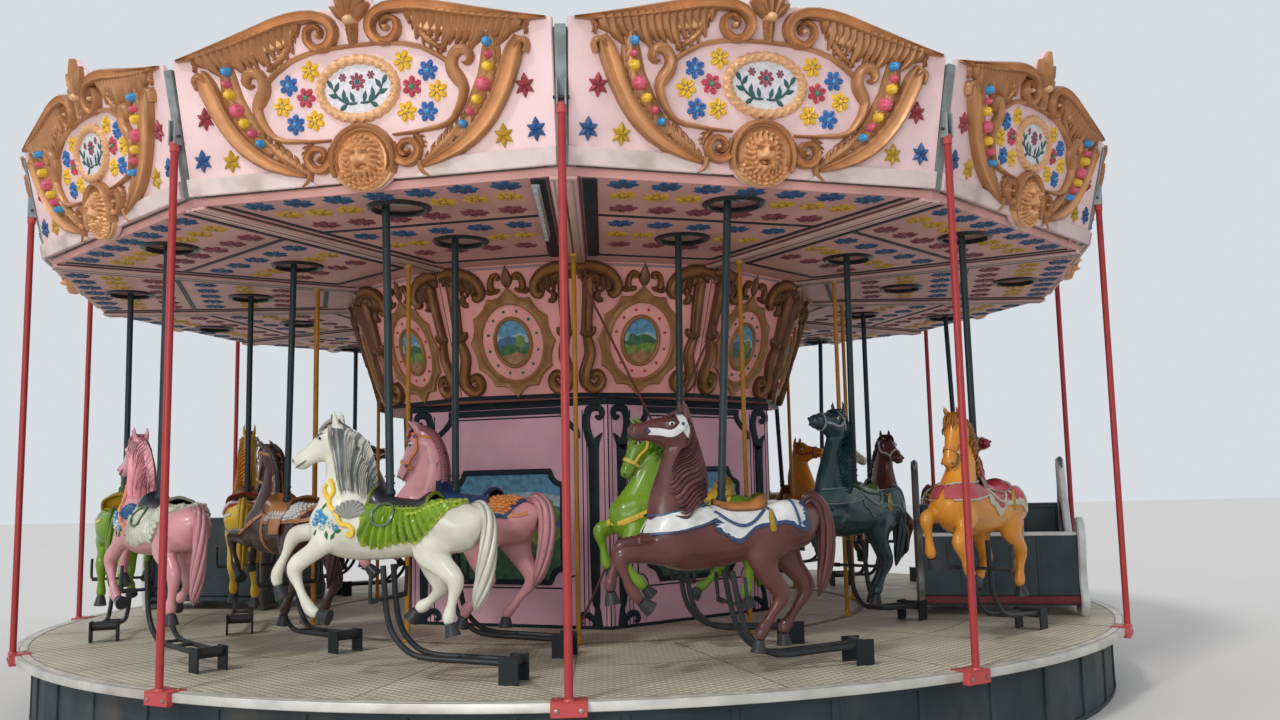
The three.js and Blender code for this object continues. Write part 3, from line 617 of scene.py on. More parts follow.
def board_half_carving(gold):
    """Right half of a board's carving; the left mirrors it."""
    shape = Shape()
    band(shape, [(0.93, 0.625, 0.01, 0.03), (0.955, 0.66, 0.02, 0.05), (0.985, 0.665, 0.02, 0.05),
                 (1.0, 0.64, 0.016, 0.05), (0.985, 0.6, 0.02, 0.045)], gold)
    band(shape, [(0.955, 0.69, 0.024, 0.045), (0.925, 0.62, 0.05, 0.058), (0.885, 0.52, 0.054, 0.058),
                 (0.845, 0.43, 0.052, 0.056), (0.785, 0.33, 0.05, 0.054), (0.705, 0.235, 0.048, 0.052),
                 (0.6, 0.155, 0.042, 0.05), (0.48, 0.098, 0.03, 0.045), (0.36, 0.055, 0.014, 0.035)],
         gold, COVE)
    top = [(1.11, 0.77, 0.008, 0.03), (0.98, 0.786, 0.02, 0.045), (0.8, 0.822, 0.028, 0.055),
           (0.6, 0.868, 0.034, 0.062), (0.42, 0.91, 0.036, 0.066), (0.3, 0.922, 0.036, 0.068),
           (0.2, 0.915, 0.032, 0.068), (0.13, 0.875, 0.03, 0.066), (0.11, 0.815, 0.028, 0.062),
           (0.145, 0.755, 0.026, 0.06), (0.215, 0.742, 0.023, 0.058), (0.268, 0.785, 0.02, 0.055),
           (0.268, 0.845, 0.017, 0.052), (0.222, 0.868, 0.014, 0.05), (0.185, 0.838, 0.012, 0.05),
           (0.195, 0.805, 0.012, 0.055)]
    band(shape, top, gold, COVE)
    dome(shape, 0.205, 0.815, 0.02, 0.02, 0.065, gold, sides=8)
    leaf = [(0.98, 0.79), (0.9, 0.745), (0.8, 0.715), (0.66, 0.735), (0.52, 0.755), (0.42, 0.775),
            (0.37, 0.8), (0.34, 0.9), (0.6, 0.868), (0.8, 0.822)]
    shape.add(*plate(leaf[::-1], 0.0, 0.03, 0.012), gold)
    feathers = 15
    for k in range(feathers):
        u = k / (feathers - 1)
        s = 0.96 - 0.62 * u
        t = 0.79 + 0.115 * u ** 0.9
        reach = 0.05 + 0.13 * math.sin(math.pi * (0.12 + 0.8 * u)) + (0.055 if k % 4 == 1 else 0.0)
        lean = math.radians(-112 + 30 * u)
        bend = lean - 0.45
        rows = [(s, t, 0.034, 0.052),
                (s + 0.5 * reach * math.cos(lean), t + 0.5 * reach * math.sin(lean), 0.032, 0.05),
                (s + 0.6 * reach * math.cos(lean) + 0.45 * reach * math.cos(bend),
                 t + 0.6 * reach * math.sin(lean) + 0.45 * reach * math.sin(bend), 0.005, 0.024)]
        band(shape, rows, gold, CREST, steps=4)
    acanthus(shape, [(0.36, 0.86, 0.05), (0.4, 0.77, 0.06), (0.47, 0.7, 0.05), (0.54, 0.655, 0.01)], gold, 6)
    acanthus(shape, [(1.02, 0.775, 0.03), (0.99, 0.74, 0.04), (1.0, 0.695, 0.01)], gold, 3)
    band(shape, [(0.0, 0.742, 0.012, 0.032), (0.2, 0.736, 0.013, 0.034), (0.36, 0.705, 0.014, 0.036),
                 (0.47, 0.65, 0.015, 0.038), (0.56, 0.585, 0.014, 0.036)], gold)
    band(shape, [(0.63, 0.585, 0.008, 0.04), (0.655, 0.578, 0.014, 0.05), (0.675, 0.605, 0.022, 0.058),
                 (0.655, 0.648, 0.028, 0.062), (0.605, 0.652, 0.031, 0.062), (0.568, 0.605, 0.032, 0.06),
                 (0.567, 0.55, 0.038, 0.058), (0.598, 0.5, 0.04, 0.056), (0.622, 0.455, 0.03, 0.052),
                 (0.612, 0.4, 0.026, 0.048), (0.582, 0.34, 0.022, 0.045), (0.54, 0.288, 0.018, 0.042),
                 (0.48, 0.262, 0.016, 0.04), (0.4, 0.252, 0.014, 0.036), (0.3, 0.243, 0.011, 0.034),
                 (0.19, 0.24, 0.009, 0.03)], gold)
    band(shape, [(0.18, 0.2, 0.014, 0.04), (0.2, 0.12, 0.026, 0.055), (0.245, 0.082, 0.026, 0.058),
                 (0.305, 0.092, 0.024, 0.056), (0.335, 0.145, 0.021, 0.054), (0.305, 0.195, 0.018, 0.052),
                 (0.25, 0.195, 0.016, 0.052), (0.225, 0.155, 0.014, 0.052), (0.25, 0.125, 0.012, 0.05),
                 (0.28, 0.14, 0.01, 0.05)], gold, COVE)
    dome(shape, 0.268, 0.147, 0.014, 0.014, 0.06, gold, sides=8)
    band(shape, [(0.33, 0.085, 0.02, 0.035), (0.345, 0.03, 0.018, 0.035), (0.385, -0.002, 0.008, 0.03)], gold)
    acanthus(shape, [(0.35, 0.065, 0.05), (0.43, 0.125, 0.08), (0.51, 0.185, 0.085), (0.585, 0.26, 0.05),
                     (0.63, 0.32, 0.02)], gold, 8)
    acanthus(shape, [(0.3, 0.245, 0.03), (0.34, 0.205, 0.045), (0.36, 0.155, 0.02)], gold, 4)
    band(shape, [(0.8, 0.73, 0.035, 0.016), (0.79, 0.62, 0.058, 0.02), (0.77, 0.5, 0.07, 0.022),
                 (0.71, 0.38, 0.068, 0.022), (0.63, 0.27, 0.052, 0.02), (0.56, 0.19, 0.03, 0.016)], gold)
    acanthus(shape, [(0.8, 0.74, 0.06), (0.795, 0.62, 0.085), (0.775, 0.5, 0.095), (0.72, 0.4, 0.09),
                     (0.65, 0.3, 0.07)], gold, 10, sweep=0.5, base=0.008)
    return shape


def board_flowers(shape, side):
    colours = {key: finish("flower_" + key, value, rough=0.35, mottle=0.16, scale=30, dirt_and_shade=0.15, ridge_tone=0.05)
               for key, value in (("blue", FLOWER_BLUE), ("yellow", FLOWER_YELLOW), ("red", FLOWER_RED),
                                  ("sky", BERRY_BLUE), ("rose", BERRY_PINK), ("green", LEAF_GREEN))}
    for s, t, paint, eye in ((0.28, 0.63, "yellow", "yellow"), (0.42, 0.565, "blue", "sky"),
                             (0.32, 0.488, "red", "green"), (0.467, 0.452, "yellow", "yellow"),
                             (0.4, 0.347, "blue", "sky"), (0.277, 0.358, "yellow", "yellow")):
        star(shape, side * s, t, 0.062, colours[paint], colours[eye], turn=0.3 * side + 7 * s, height=0.34)
    for s, t, paint in ((0.965, 0.43, "red"), (1.01, 0.195, "blue"), (0.825, 0.178, "yellow")):
        lily(shape, side * s, t, 0.066, colours[paint])
    for s, t, r, paint in ((0.782, 0.675, 0.028, "sky"), (0.785, 0.605, 0.022, "rose"),
                           (0.775, 0.545, 0.032, "yellow"),
                           (0.742, 0.455, 0.042, "rose"), (0.7, 0.378, 0.03, "yellow"),
                           (0.655, 0.318, 0.024, "rose"), (0.61, 0.258, 0.024, "sky")):
        dome(shape, side * s, t, r, r, 0.06, colours[paint], base=0.02)
        for k in range(7):
            a = k * 2 * math.pi / 7
            x, y = side * s + r * 0.62 * math.cos(a), t + r * 0.62 * math.sin(a)
            dome(shape, x, y, r * 0.36, r * 0.36, 0.055, colours[paint], base=0.02, rings=2, sides=6)


def board_carving():
    # Carved gold: darker hollows are partly dirt and partly painted shade; lighter ridges are partly wear and
    # partly painted highlight.
    gold = finish("carved_gold", GOLD, rough=0.38, metal=0.15, mottle=0.14, scale=9, dirt_and_shade=0.22,
                  grime_and_shade=(0.24, 0.1, 0.04), ridge_tone=0.35, wear_and_highlight_colour=(0.84, 0.58, 0.36), bump=0.25)
    mouth = finish("carved_shadow", (0.06, 0.02, 0.03), rough=0.6, shine=0.1)
    shape = Shape()
    half = board_half_carving(gold)
    shape.include(half)
    shape.include(half, mirror=True)
    acanthus(shape, [(0.0, 0.735, 0.05), (0.0, 0.8, 0.085), (0.0, 0.87, 0.05)], gold, 6, sweep=0.5,
             thick=0.05)
    for angle, reach in ((90, 0.25), (62, 0.2), (118, 0.2), (36, 0.14), (144, 0.14)):
        a = math.radians(angle)
        band(shape, [(0.03 * math.cos(a), 0.875, 0.018, 0.06),
                     (0.55 * reach * math.cos(a), 0.875 + 0.55 * reach * math.sin(a), 0.034, 0.065),
                     (reach * math.cos(a), 0.875 + reach * math.sin(a), 0.01, 0.04)], gold, CREST)
    dome(shape, 0, 0.875, 0.045, 0.035, 0.085, gold)
    rope_ring(shape, 0.0, 0.506, 0.226, 0.158, 0.028, gold, strands=26, count=180)
    lion_mask(shape, gold, mouth)
    board_flowers(shape, 1)
    board_flowers(shape, -1)
    return shape.mesh("board_carving", keep=KEEP["board"])


def board_medallion():
    """Plain oval field with a small rosette and two sprigs."""
    shape = Shape()
    field = finish("medallion_field", (0.66, 0.64, 0.66), rough=0.5, mottle=0.14, scale=40, dirt_and_shade=0.6,
                   grime_and_shade=(0.34, 0.36, 0.46))
    teal = finish("medallion_leaf", (0.01, 0.13, 0.13), rough=0.4, scale=30)
    plum = finish("medallion_flower", (0.3, 0.06, 0.09), rough=0.4, scale=30)
    shape.add(*plate(oval(0, 0.506, 0.212, 0.146), 0.0, 0.006, 0.002), field)
    star(shape, 0, 0.545, 0.052, plum, teal, petals=8, height=0.16, base=0.006)
    star(shape, 0.085, 0.575, 0.026, plum, teal, petals=6, height=0.16, base=0.006)
    star(shape, -0.085, 0.575, 0.026, plum, teal, petals=6, height=0.16, base=0.006)
    for side in (1, -1):
        stem = [(side * 0.01, 0.43, 0.006, 0.005), (side * 0.06, 0.432, 0.008, 0.006),
                (side * 0.12, 0.468, 0.007, 0.005), (side * 0.155, 0.53, 0.003, 0.003)]
        band(shape, stem, teal, base=0.006)
        for s, t, turn in ((0.03, 0.435, 75), (0.06, 0.436, 50), (0.09, 0.45, 95), (0.12, 0.47, 20),
                           (0.07, 0.43, -35), (0.14, 0.5, 120), (0.15, 0.52, 60)):
            a = math.radians(turn if side == 1 else 180 - turn)
            x, y = math.cos(a), math.sin(a)
            band(shape, [(side * s, t, 0.004, 0.004), (side * s + 0.03 * x, t + 0.03 * y, 0.014, 0.006),
                         (side * s + 0.062 * x, t + 0.062 * y, 0.001, 0.003)], teal, base=0.006, steps=3)
    return shape.mesh("board_medallion")


def board_place(sector):
    """Panel coordinates s, t, h of a board to the frame."""
    lean = math.atan2((BOARD_TOP - BOARD_BASE) * math.cos(SECTOR / 2), BOARD_HEIGHT)
    return panel_place((sector + 0.5) * SECTOR, BOARD_BASE * math.cos(SECTOR / 2), BOARD_FOOT, lean)


def rounding_boards():
    panel, carving, medallion = board_panel(), board_carving(), board_medallion()
    for sector in range(SECTORS):
        place = board_place(sector)
        face = piece(f"board_{sector:02d}_panel", panel, "platform", place)
        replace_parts(face, "rounding_boards")
        piece(f"board_{sector:02d}_carving", carving, "platform", place)
        piece(f"board_{sector:02d}_medallion", medallion, "platform", place)
    strip = finish("joint_strip", (0.2, 0.23, 0.23), rough=0.5, mottle=0.2, scale=12, dirt_and_shade=0.5)
    steel = finish("clevis_grey", (0.3, 0.33, 0.34), rough=0.4, metal=0.5, dirt_and_shade=0.4)
    shape = Shape()
    lean = (BOARD_TOP - BOARD_BASE) / BOARD_HEIGHT
    for joint in range(SECTORS):
        place = on_ring(joint * SECTOR)
        for y0, y1, back, paint in ((-0.075, 0.075, 0.075, strip), (-0.03, 0.03, 0.035, strip)):
            ring = [[(BOARD_BASE + z * lean - back + d, y, BOARD_FOOT + z)
                     for d, y in ((0, y0), (0.03, y0), (0.03, y1), (0, y1))]
                    for z in (0.0, BOARD_HEIGHT - 0.012)]
            shape.add(*skin(ring), paint, place)
        for y in (-0.028, 0.018):
            shape.add(*block((4.44, y, POST_TOP - 0.02), (4.535, y + 0.01, POST_TOP + 0.13), 0.003),
                      steel, place)
        shape.add(*block((4.44, -0.04, POST_TOP + 0.02), (4.465, 0.04, POST_TOP + 0.15), 0.004), steel, place)
        shape.add(*rod((POST_RING, -0.045, POST_TOP + 0.03), (POST_RING, 0.045, POST_TOP + 0.03), 0.009),
                  steel, place)
    piece("board_joint_strips", shape.mesh("board_joint_strips"), "platform")


# Deck, rim, posts, poles and stays

def paint_cad(node, material):
    thing = frame["nodes"][node]
    thing.data.materials.clear()
    thing.data.materials.append(material)


def tread_plate():
    """Worn chequered plate on the deck; what stands on it is black."""
    material = finish("tread_plate", (0.62, 0.565, 0.435), rough=0.52, metal=0.05, mottle=0.16, scale=2.2,
                      dirt_and_shade=0.45, grime_and_shade=(0.2, 0.17, 0.11), bump=0.0)
    nodes, links = material.node_tree.nodes, material.node_tree.links
    shader = nodes["Principled BSDF"]
    split = nodes.new("ShaderNodeSeparateXYZ")
    links.new(nodes.new("ShaderNodeTexCoord").outputs["Object"], split.inputs[0])

    def math_node(operation, a, b=None, c=None):
        node = nodes.new("ShaderNodeMath")
        node.operation = operation
        for socket, value in zip(node.inputs, (a, b, c)):
            if value is None:
                continue
            if isinstance(value, (int, float)):
                socket.default_value = value
            else:
                links.new(value, socket)
        return node.outputs[0]

    lines = []
    for sign in (1, -1):
        across = math_node("MULTIPLY_ADD", split.outputs["Y"], sign, split.outputs["X"])
        wave = math_node("PINGPONG", math_node("MULTIPLY", across, 14.0), 0.5)
        lines.append(math_node("LESS_THAN", wave, 0.11))
    grid = math_node("MAXIMUM", *lines)
    bump = nodes.new("ShaderNodeBump")
    bump.inputs["Strength"].default_value = 0.9
    bump.inputs["Distance"].default_value = 0.003
    links.new(grid, bump.inputs["Height"])
    links.new(bump.outputs["Normal"], shader.inputs["Normal"])
    tone = shader.inputs["Base Color"].links[0].from_socket
    ridge_tone = nodes.new("ShaderNodeMix")
    ridge_tone.data_type = "RGBA"
    links.new(math_node("MULTIPLY", grid, 0.75), ridge_tone.inputs["Factor"])
    links.new(tone, ridge_tone.inputs["A"])
    ridge_tone.inputs["B"].default_value = (0.16, 0.135, 0.09, 1)
    height = math_node("GREATER_THAN", split.outputs["Z"], DECK_TOP + 0.0015)
    stands = nodes.new("ShaderNodeMix")
    stands.data_type = "RGBA"
    links.new(height, stands.inputs["Factor"])
    links.new(ridge_tone.outputs["Result"], stands.inputs["A"])
    stands.inputs["B"].default_value = (0.01, 0.014, 0.018, 1)
    links.new(stands.outputs["Result"], shader.inputs["Base Color"])
    return material


def deck():
    paint_cad("deck", tread_plate())
    seam = finish("deck_seam", (0.2, 0.17, 0.13), rough=0.6, dirt_and_shade=0.5)
    bright = finish("deck_edge", (0.6, 0.56, 0.48), rough=0.45, metal=0.4, mottle=0.2, scale=9, dirt_and_shade=0.4)
    shape = Shape()
    low, high = DECK_TOP - 0.001, DECK_TOP + 0.0012
    for k in range(2 * SECTORS):
        place = on_ring(k * SECTOR / 2)
        inner = 1.8 if k % 2 == 0 else 2.55
        shape.add(*block((inner, -0.0035, low), (4.4, 0.0035, high)), seam, place)
        for radius in np.arange(2.7, 4.4, 0.28):
            for y in (-0.022, 0.022):
                shape.add(*lathe([(0.0, 0.0), (0.006, 0.0), (0.004, 0.0018), (0.0, 0.0018)], 6), bright,
                          place @ Matrix.Translation((radius, y, DECK_TOP)))
    for radius in (3.38, 4.405):
        shape.add(*flat_ring(radius, radius + 0.006, low, high, 144), seam)
    shape.add(*flat_ring(4.415, 4.462, low, DECK_TOP + 0.002, 144), bright)
    piece("deck_seams", shape.mesh("deck_seams"), "platform")


def rim_and_posts():
    steel = finish("rim_grey", (0.5, 0.49, 0.45), rough=0.42, metal=0.3, mottle=0.18, scale=5, dirt_and_shade=0.45,
                   grime_and_shade=(0.22, 0.13, 0.08))
    red = finish("post_red", RED, rough=0.36, mottle=0.1, scale=12, dirt_and_shade=0.14, grime_and_shade=(0.22, 0.03, 0.03),
                 ridge_tone=0.1, wear_and_highlight_colour=(0.7, 0.35, 0.3))
    bolt = finish("bolt_steel", (0.3, 0.28, 0.26), rough=0.4, metal=0.8, dirt_and_shade=0.5)
    band_shape = Shape()
    profile = [(4.466, 0.45), (4.496, 0.45), (4.5, 0.454), (4.5, 0.496), (4.497, 0.5), (4.466, 0.5)]
    band_shape.add(*lathe(profile, 192), steel)
    rim = piece("rim_band", band_shape.mesh("rim_band"), "platform")
    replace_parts(rim, "rim_and_posts")
    posts = Shape()
    for k in range(SECTORS):
        place = on_ring(k * SECTOR)
        posts.add(*rod((POST_RING, 0, 0.506), (POST_RING, 0, POST_TOP), 0.0222, 18), red, place)
        posts.add(*lathe([(0.0, 0.0), (0.03, 0.0), (0.024, 0.012), (0.0, 0.012)], 16), red,
                  place @ Matrix.Translation((POST_RING, 0, 0.5085)))
        posts.add(*flat_ring(0.0, 0.027, 0.0, 0.055, 16), red,
                  place @ Matrix.Translation((POST_RING, 0, POST_TOP - 0.059)))
        posts.add(*block((4.4, -0.0925, 0.5003), (4.534, 0.0925, 0.5083), 0.0025), red, place)
        posts.add(*block((4.488, -0.0925, 0.43), (4.534, 0.0925, 0.504), 0.004), red, place)
        for y in (-0.062, 0.062):
            head = place @ Matrix.Translation((4.53, y, 0.464)) @ Matrix.Rotation(math.pi / 2, 4, "Y")
            posts.add(*lathe([(0.0, 0.0), (0.013, 0.0), (0.013, 0.009), (0.009, 0.011), (0.0, 0.011)], 6),
                      bolt, head)
            top = place @ Matrix.Translation((4.428, y, 0.506))
            posts.add(*flat_ring(0.0, 0.011, 0.0, 0.007, 6), bolt, top)
    piece("red_posts", posts.mesh("red_posts"), "platform")


def inner_poles():
    mustard = finish("mustard", MUSTARD, rough=0.45, mottle=0.14, scale=14, dirt_and_shade=0.14,
                     grime_and_shade=(0.24, 0.1, 0.02), ridge_tone=0.1, wear_and_highlight_colour=(0.7, 0.45, 0.15), shine=0.2)
    foot = finish("pole_foot_ring", (0.2, 0.17, 0.12), rough=0.6, dirt_and_shade=0.5)
    shape = Shape()
    shape.add(*flat_ring(POLE_RING - 0.025, POLE_RING + 0.025, 0.5003, 0.5063, 96), foot)
    for k in range(SECTORS):
        place = on_ring(k * SECTOR)
        shape.add(*rod((POLE_RING, 0, 0.504), (POLE_RING, 0, CEILING - 0.0004), 0.0168, 14), mustard, place)
        shape.add(*lathe([(0.0, 0.0), (0.036, 0.0), (0.036, 0.006), (0.021, 0.012), (0.021, 0.05),
                          (0.0, 0.05)], 14),
                  mustard, place @ Matrix.Translation((POLE_RING, 0, 0.5063)))
        shape.add(*lathe([(0.0, 0.0), (0.021, 0.0), (0.034, 0.034), (0.034, 0.04), (0.0, 0.04)], 14), mustard,
                  place @ Matrix.Translation((POLE_RING, 0, CEILING - 0.0405)))
    poles = piece("inner_poles_round", shape.mesh("inner_poles_round"), "platform")
    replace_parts(poles, "inner_poles")


def stay_rods():
    red = finish("stay_dark_red", (0.2, 0.018, 0.018), rough=0.45, mottle=0.2, scale=20, dirt_and_shade=0.2, shine=0.2)
    for name, first in (("front", 0), ("back", 6)):
        shape = Shape()
        ends = {}
        for index in (first, first + 1):
            a = index * SECTOR
            for key, height in (("low", 0.61), ("high", 3.15)):
                ends[index, key] = Vector((POLE_RING * math.sin(a), -POLE_RING * math.cos(a), height))
        for start, end in ((ends[first, "low"], ends[first + 1, "high"]),
                           (ends[first, "high"], ends[first + 1, "low"])):
            along = (end - start).normalized()
            clear = 0.0175
            start, end = start + along * clear, end - along * clear
            middle = start.lerp(end, 0.82)
            face = along.cross(Vector((-start.y, start.x, 0)).normalized()).normalized()
            across = along.cross(face).normalized()
            for a, b in ((start, middle - along * 0.055), (middle + along * 0.055, end)):
                shape.add(*rod(a, b, 0.0085, 10), red)
            for side in (1, -1):
                shift = across * 0.0125 * side
                shape.add(*rod(middle - along * 0.085 + shift, middle + along * 0.085 + shift, 0.0042, 6),
                          red)
            for side in (1, -1):
                centre = middle + along * 0.085 * side
                shape.add(*rod(centre - along * 0.011, centre + along * 0.011, 0.0165, 8), red)
        rods = piece(f"stay_rods_{name}_round", shape.mesh(f"stay_rods_{name}"), "platform")
        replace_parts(rods, f"stay_rods_{name}")


def skirt():
    # Near-black skirt, battens and centre bearing: painted shade for the deep shade under the platform's
    # overhang.
    dark = finish("skirt_dark", (0.022, 0.034, 0.04), rough=0.6, mottle=0.3, scale=3, dirt_and_shade=0.6,
                  grime_and_shade=(0.12, 0.1, 0.08))
    paint_cad("skirt_ring", dark)
    paint_cad("centre_bearing", dark)
    shape = Shape()
    for k in range(4 * SECTORS):
        place = on_ring((k + 0.5) * SECTOR / 4)
        shape.add(*block((4.355, -0.022, 0.004), (4.384, 0.022, 0.436), 0.004), dark, place)
    for z in (0.012, 0.41):
        shape.add(*flat_ring(4.36, 4.386, z, z + 0.022, 144), dark)
    piece("skirt_battens", shape.mesh("skirt_battens"), "base")


# Ceiling

def ceiling_place(sector):
    """Panel coordinates under the ceiling: s across, t outward from the centre, h down."""
    out, side = outward((sector + 0.5) * SECTOR)
    return axes(-side, out, -UP, UP * CEILING)


def pinwheel(shape, s, t, radius, paint, centre, turn):
    star(shape, s, t, radius, paint, centre, petals=7, turn=turn, height=0.11, curl=0.12)


def strip(shape, s0, t0, s1, t1, half, depth, paint):
    """Flat strip between two points of a panel."""
    along = np.array([s1 - s0, t1 - t0])
    along /= np.linalg.norm(along)
    a, b = -along[1] * half, along[0] * half
    outline = [(s0 + a, t0 + b), (s0 - a, t0 - b), (s1 - a, t1 - b), (s1 + a, t1 + b)]
    shape.add(*plate(outline, 0.0, depth, min(half, depth) * 0.3), paint)


def ceiling_sector(paints):
    shape = Shape()
    rows = [(4.115, (0, 0.255, 0.51, 0.765), "blue", 0.098), (3.89, (0.3, 0.5, 0.7), "yellow", 0.092),
            (3.6, (0.13, 0.375, 0.62), "rose", 0.096), (3.23, (0, 0.265, 0.53), "blue", 0.094),
            (2.94, (0.29, 0.47), "yellow", 0.086), (2.65, (0.13, 0.375), "rose", 0.088)]
    rng = random.Random(7)
    for t, offsets, colour, radius in rows:
        for s in offsets:
            for side in ((1, -1) if s else (1,)):
                pinwheel(shape, side * s, t, radius, paints[colour], paints[colour], rng.uniform(0, 1))
    line = paints["line"]
    tangent = math.tan(SECTOR / 2)

    def edge(t, inset=0.165):
        return t * tangent - inset / math.cos(SECTOR / 2)

    strip(shape, -edge(3.42), 3.42, edge(3.42), 3.42, 0.018, 0.006, line)
    strip(shape, -edge(2.29), 2.29, edge(2.29), 2.29, 0.018, 0.006, line)
    for side in (1, -1):
        strip(shape, side * edge(2.29), 2.29, side * edge(4.185), 4.185, 0.018, 0.006, line)
    return shape


def ceiling():
    pink = finish("ceiling_pink", CEILING_PINK, rough=0.5, mottle=0.14, scale=2.5, dirt_and_shade=0.3,
                  grime_and_shade=(0.24, 0.12, 0.11))
    beam = finish("ceiling_beam", (0.68, 0.42, 0.38), rough=0.48, mottle=0.1, scale=4, dirt_and_shade=0.3,
                  grime_and_shade=(0.24, 0.12, 0.11))
    paint_cad("ceiling", pink)
    paints = {"blue": finish("ceiling_blue", DARK_BLUE, rough=0.5, mottle=0.25, scale=25, dirt_and_shade=0.1),
              "yellow": finish("ceiling_yellow", DARK_YELLOW, rough=0.5, mottle=0.2, scale=25, dirt_and_shade=0.1),
              "rose": finish("ceiling_rose", DARK_ROSE, rough=0.5, mottle=0.25, scale=25, dirt_and_shade=0.1),
              "line": finish("ceiling_line", BLACK, rough=0.55, dirt_and_shade=0.1)}
    sheet = ceiling_sector(paints).mesh("ceiling_flowers")
    rims = Shape()
    black = finish("hole_rim", (0.014, 0.018, 0.02), rough=0.35, dirt_and_shade=0.2, coat=0.3)
    for radius in ROWS.values():
        for fluting in range(24):
            a = fluting * 2 * math.pi / 24
            shift = Matrix.Translation((0, radius, 0))
            rows = [(0.16 * math.cos(a), 0.16 * math.sin(a), 0.01, 0.012, 0.0135),
                    (0.178 * math.cos(a), 0.178 * math.sin(a), 0.004, 0.01, 0.0155)]
            rims.add(*loft(rows, 6, (0, 0, 1), 2), black, shift)
        profile = [(0.157, -0.012), (0.192, -0.004), (0.192, 0.005), (0.176, 0.016), (0.16, 0.02),
                   (0.153, 0.012)]
        rims.add(*lathe(profile, 48), black, Matrix.Translation((0, radius, 0)))
    rim = rims.mesh("hole_rims")
    for sector in range(SECTORS):
        piece(f"ceiling_{sector:02d}_flowers", sheet, "platform", ceiling_place(sector))
        piece(f"ceiling_{sector:02d}_rims", rim, "platform", ceiling_place(sector))
    beams = Shape()
    dark = finish("beam_line", (0.1, 0.055, 0.06), rough=0.5)
    pale = finish("beam_edge", (0.36, 0.33, 0.33), rough=0.5, dirt_and_shade=0.3)
    start, end = BEAM_ENDS

    def bar(joint, y, half, low, high, paint, cut=(0.0, 0.0), bevel=0.0):
        beams.add(*block((start + cut[0], y - half, CEILING + low),
                         (end - cut[1], y + half, CEILING + high), bevel),
                  paint, on_ring(joint * SECTOR))

    for joint in range(SECTORS):
        bar(joint, 0.0, 0.075, -0.022, 0.002, beam, bevel=0.004)
        bar(joint, 0.0, 0.006, -0.0245, -0.02, dark)
        for y in (-0.052, 0.052):
            bar(joint, y, 0.005, -0.0245, -0.02, pale)
        for y in (-0.088, 0.088):
            bar(joint, y, 0.004, -0.01, 0.002, dark, (0.04, 0.02))
    for y in (-0.1375, 0.1375):
        bar(0, y, 0.037, -0.012, 0.002, paints["line"], (0.18, 0.05), 0.003)
    piece("ceiling_beams", beams.mesh("ceiling_beams"), "platform")
    lamp = Shape()
    white = finish("tube_white", (0.8, 0.82, 0.8), rough=0.25, mottle=0.03, dirt_and_shade=0.1)
    case = finish("tube_case", (0.3, 0.32, 0.33), rough=0.4, dirt_and_shade=0.4)
    lamp.add(*block((3.02, -0.18, CEILING - 0.032), (4.24, -0.135, CEILING - 0.01), 0.004), case,
             on_ring(0.0))
    lamp.add(*rod((3.04, -0.158, CEILING - 0.043), (4.22, -0.158, CEILING - 0.043), 0.013, 14), white,
             on_ring(0.0))
    for x in (3.03, 4.215):
        lamp.add(*block((x - 0.012, -0.172, CEILING - 0.06), (x + 0.012, -0.144, CEILING - 0.02), 0.003),
                 case, on_ring(0.0))
    piece("ceiling_tube_light", lamp.mesh("ceiling_tube_light"), "platform")


# Crown and machine housing

def field(shape, columns, paint, height):
    """Flat patch between a lower and an upper edge: rows of s, low, high."""
    points, faces = [], []
    for s, low, high in columns:
        points += [(s, low, height), (s, max(high, low + 1e-4), height)]
    for i in range(len(columns) - 1):
        faces.append([2 * i, 2 * i + 2, 2 * i + 3, 2 * i + 1])
    shape.add(points, faces, paint)


def scene_paints():
    return {key: finish("scene_" + key, value, rough=0.5, mottle=0.35, scale=22, dirt_and_shade=0.25)
            for key, value in (("sky", (0.1, 0.27, 0.42)), ("haze", (0.3, 0.44, 0.5)),
                               ("hill", (0.05, 0.13, 0.24)),
                               ("wood", (0.045, 0.13, 0.055)), ("leaf", (0.16, 0.26, 0.05)),
                               ("grass", (0.03, 0.1, 0.05)), ("earth", (0.32, 0.16, 0.08)))}


def crown_scene(shape, t0, paints, kind):
    """Plain landscape in the oval: sky, hills, a tree and a path."""
    rs, rt = 0.13, 0.172

    def cut(height, paint, top, low=lambda s: -9.0):
        columns = []
        for s in np.linspace(-rs, rs, 21):
            reach = rt * math.sqrt(max(0.0, 1 - (s / rs) ** 2))
            columns.append((s, t0 + min(reach, max(-reach, low(s))), t0 + max(-reach, min(reach, top(s)))))
        field(shape, columns, paints[paint], height)

    cut(0.004, "sky", lambda s: 9.0)
    cut(0.005, "haze", lambda s: 0.055 + 0.012 * math.sin(31 * s))
    cut(0.0056, "hill" if kind else "wood", lambda s: 0.02 + 0.03 * math.sin(19 * s + 1.1 + kind))
    cut(0.0062, "wood" if kind else "leaf", lambda s: -0.028 + 0.014 * math.sin(27 * s + 2 * kind))
    cut(0.0068, "earth", lambda s: -0.075 - 0.25 * abs(s - 0.02))
    for s, t, r in ((-0.062, 0.02, 0.034), (-0.078, -0.01, 0.026), (-0.042, -0.012, 0.024)):
        side = -1 if kind else 1
        shape.add(*plate([(side * s + r * x, t0 + t + r * y) for x, y in circle(9)], 0.0062, 0.0078, 0.001),
                  paints["leaf" if kind else "wood"])
    strip(shape, (0.06 if kind else -0.06), t0 - 0.09, (0.06 if kind else -0.06), t0 - 0.005, 0.005, 0.0075,
          paints["earth"])


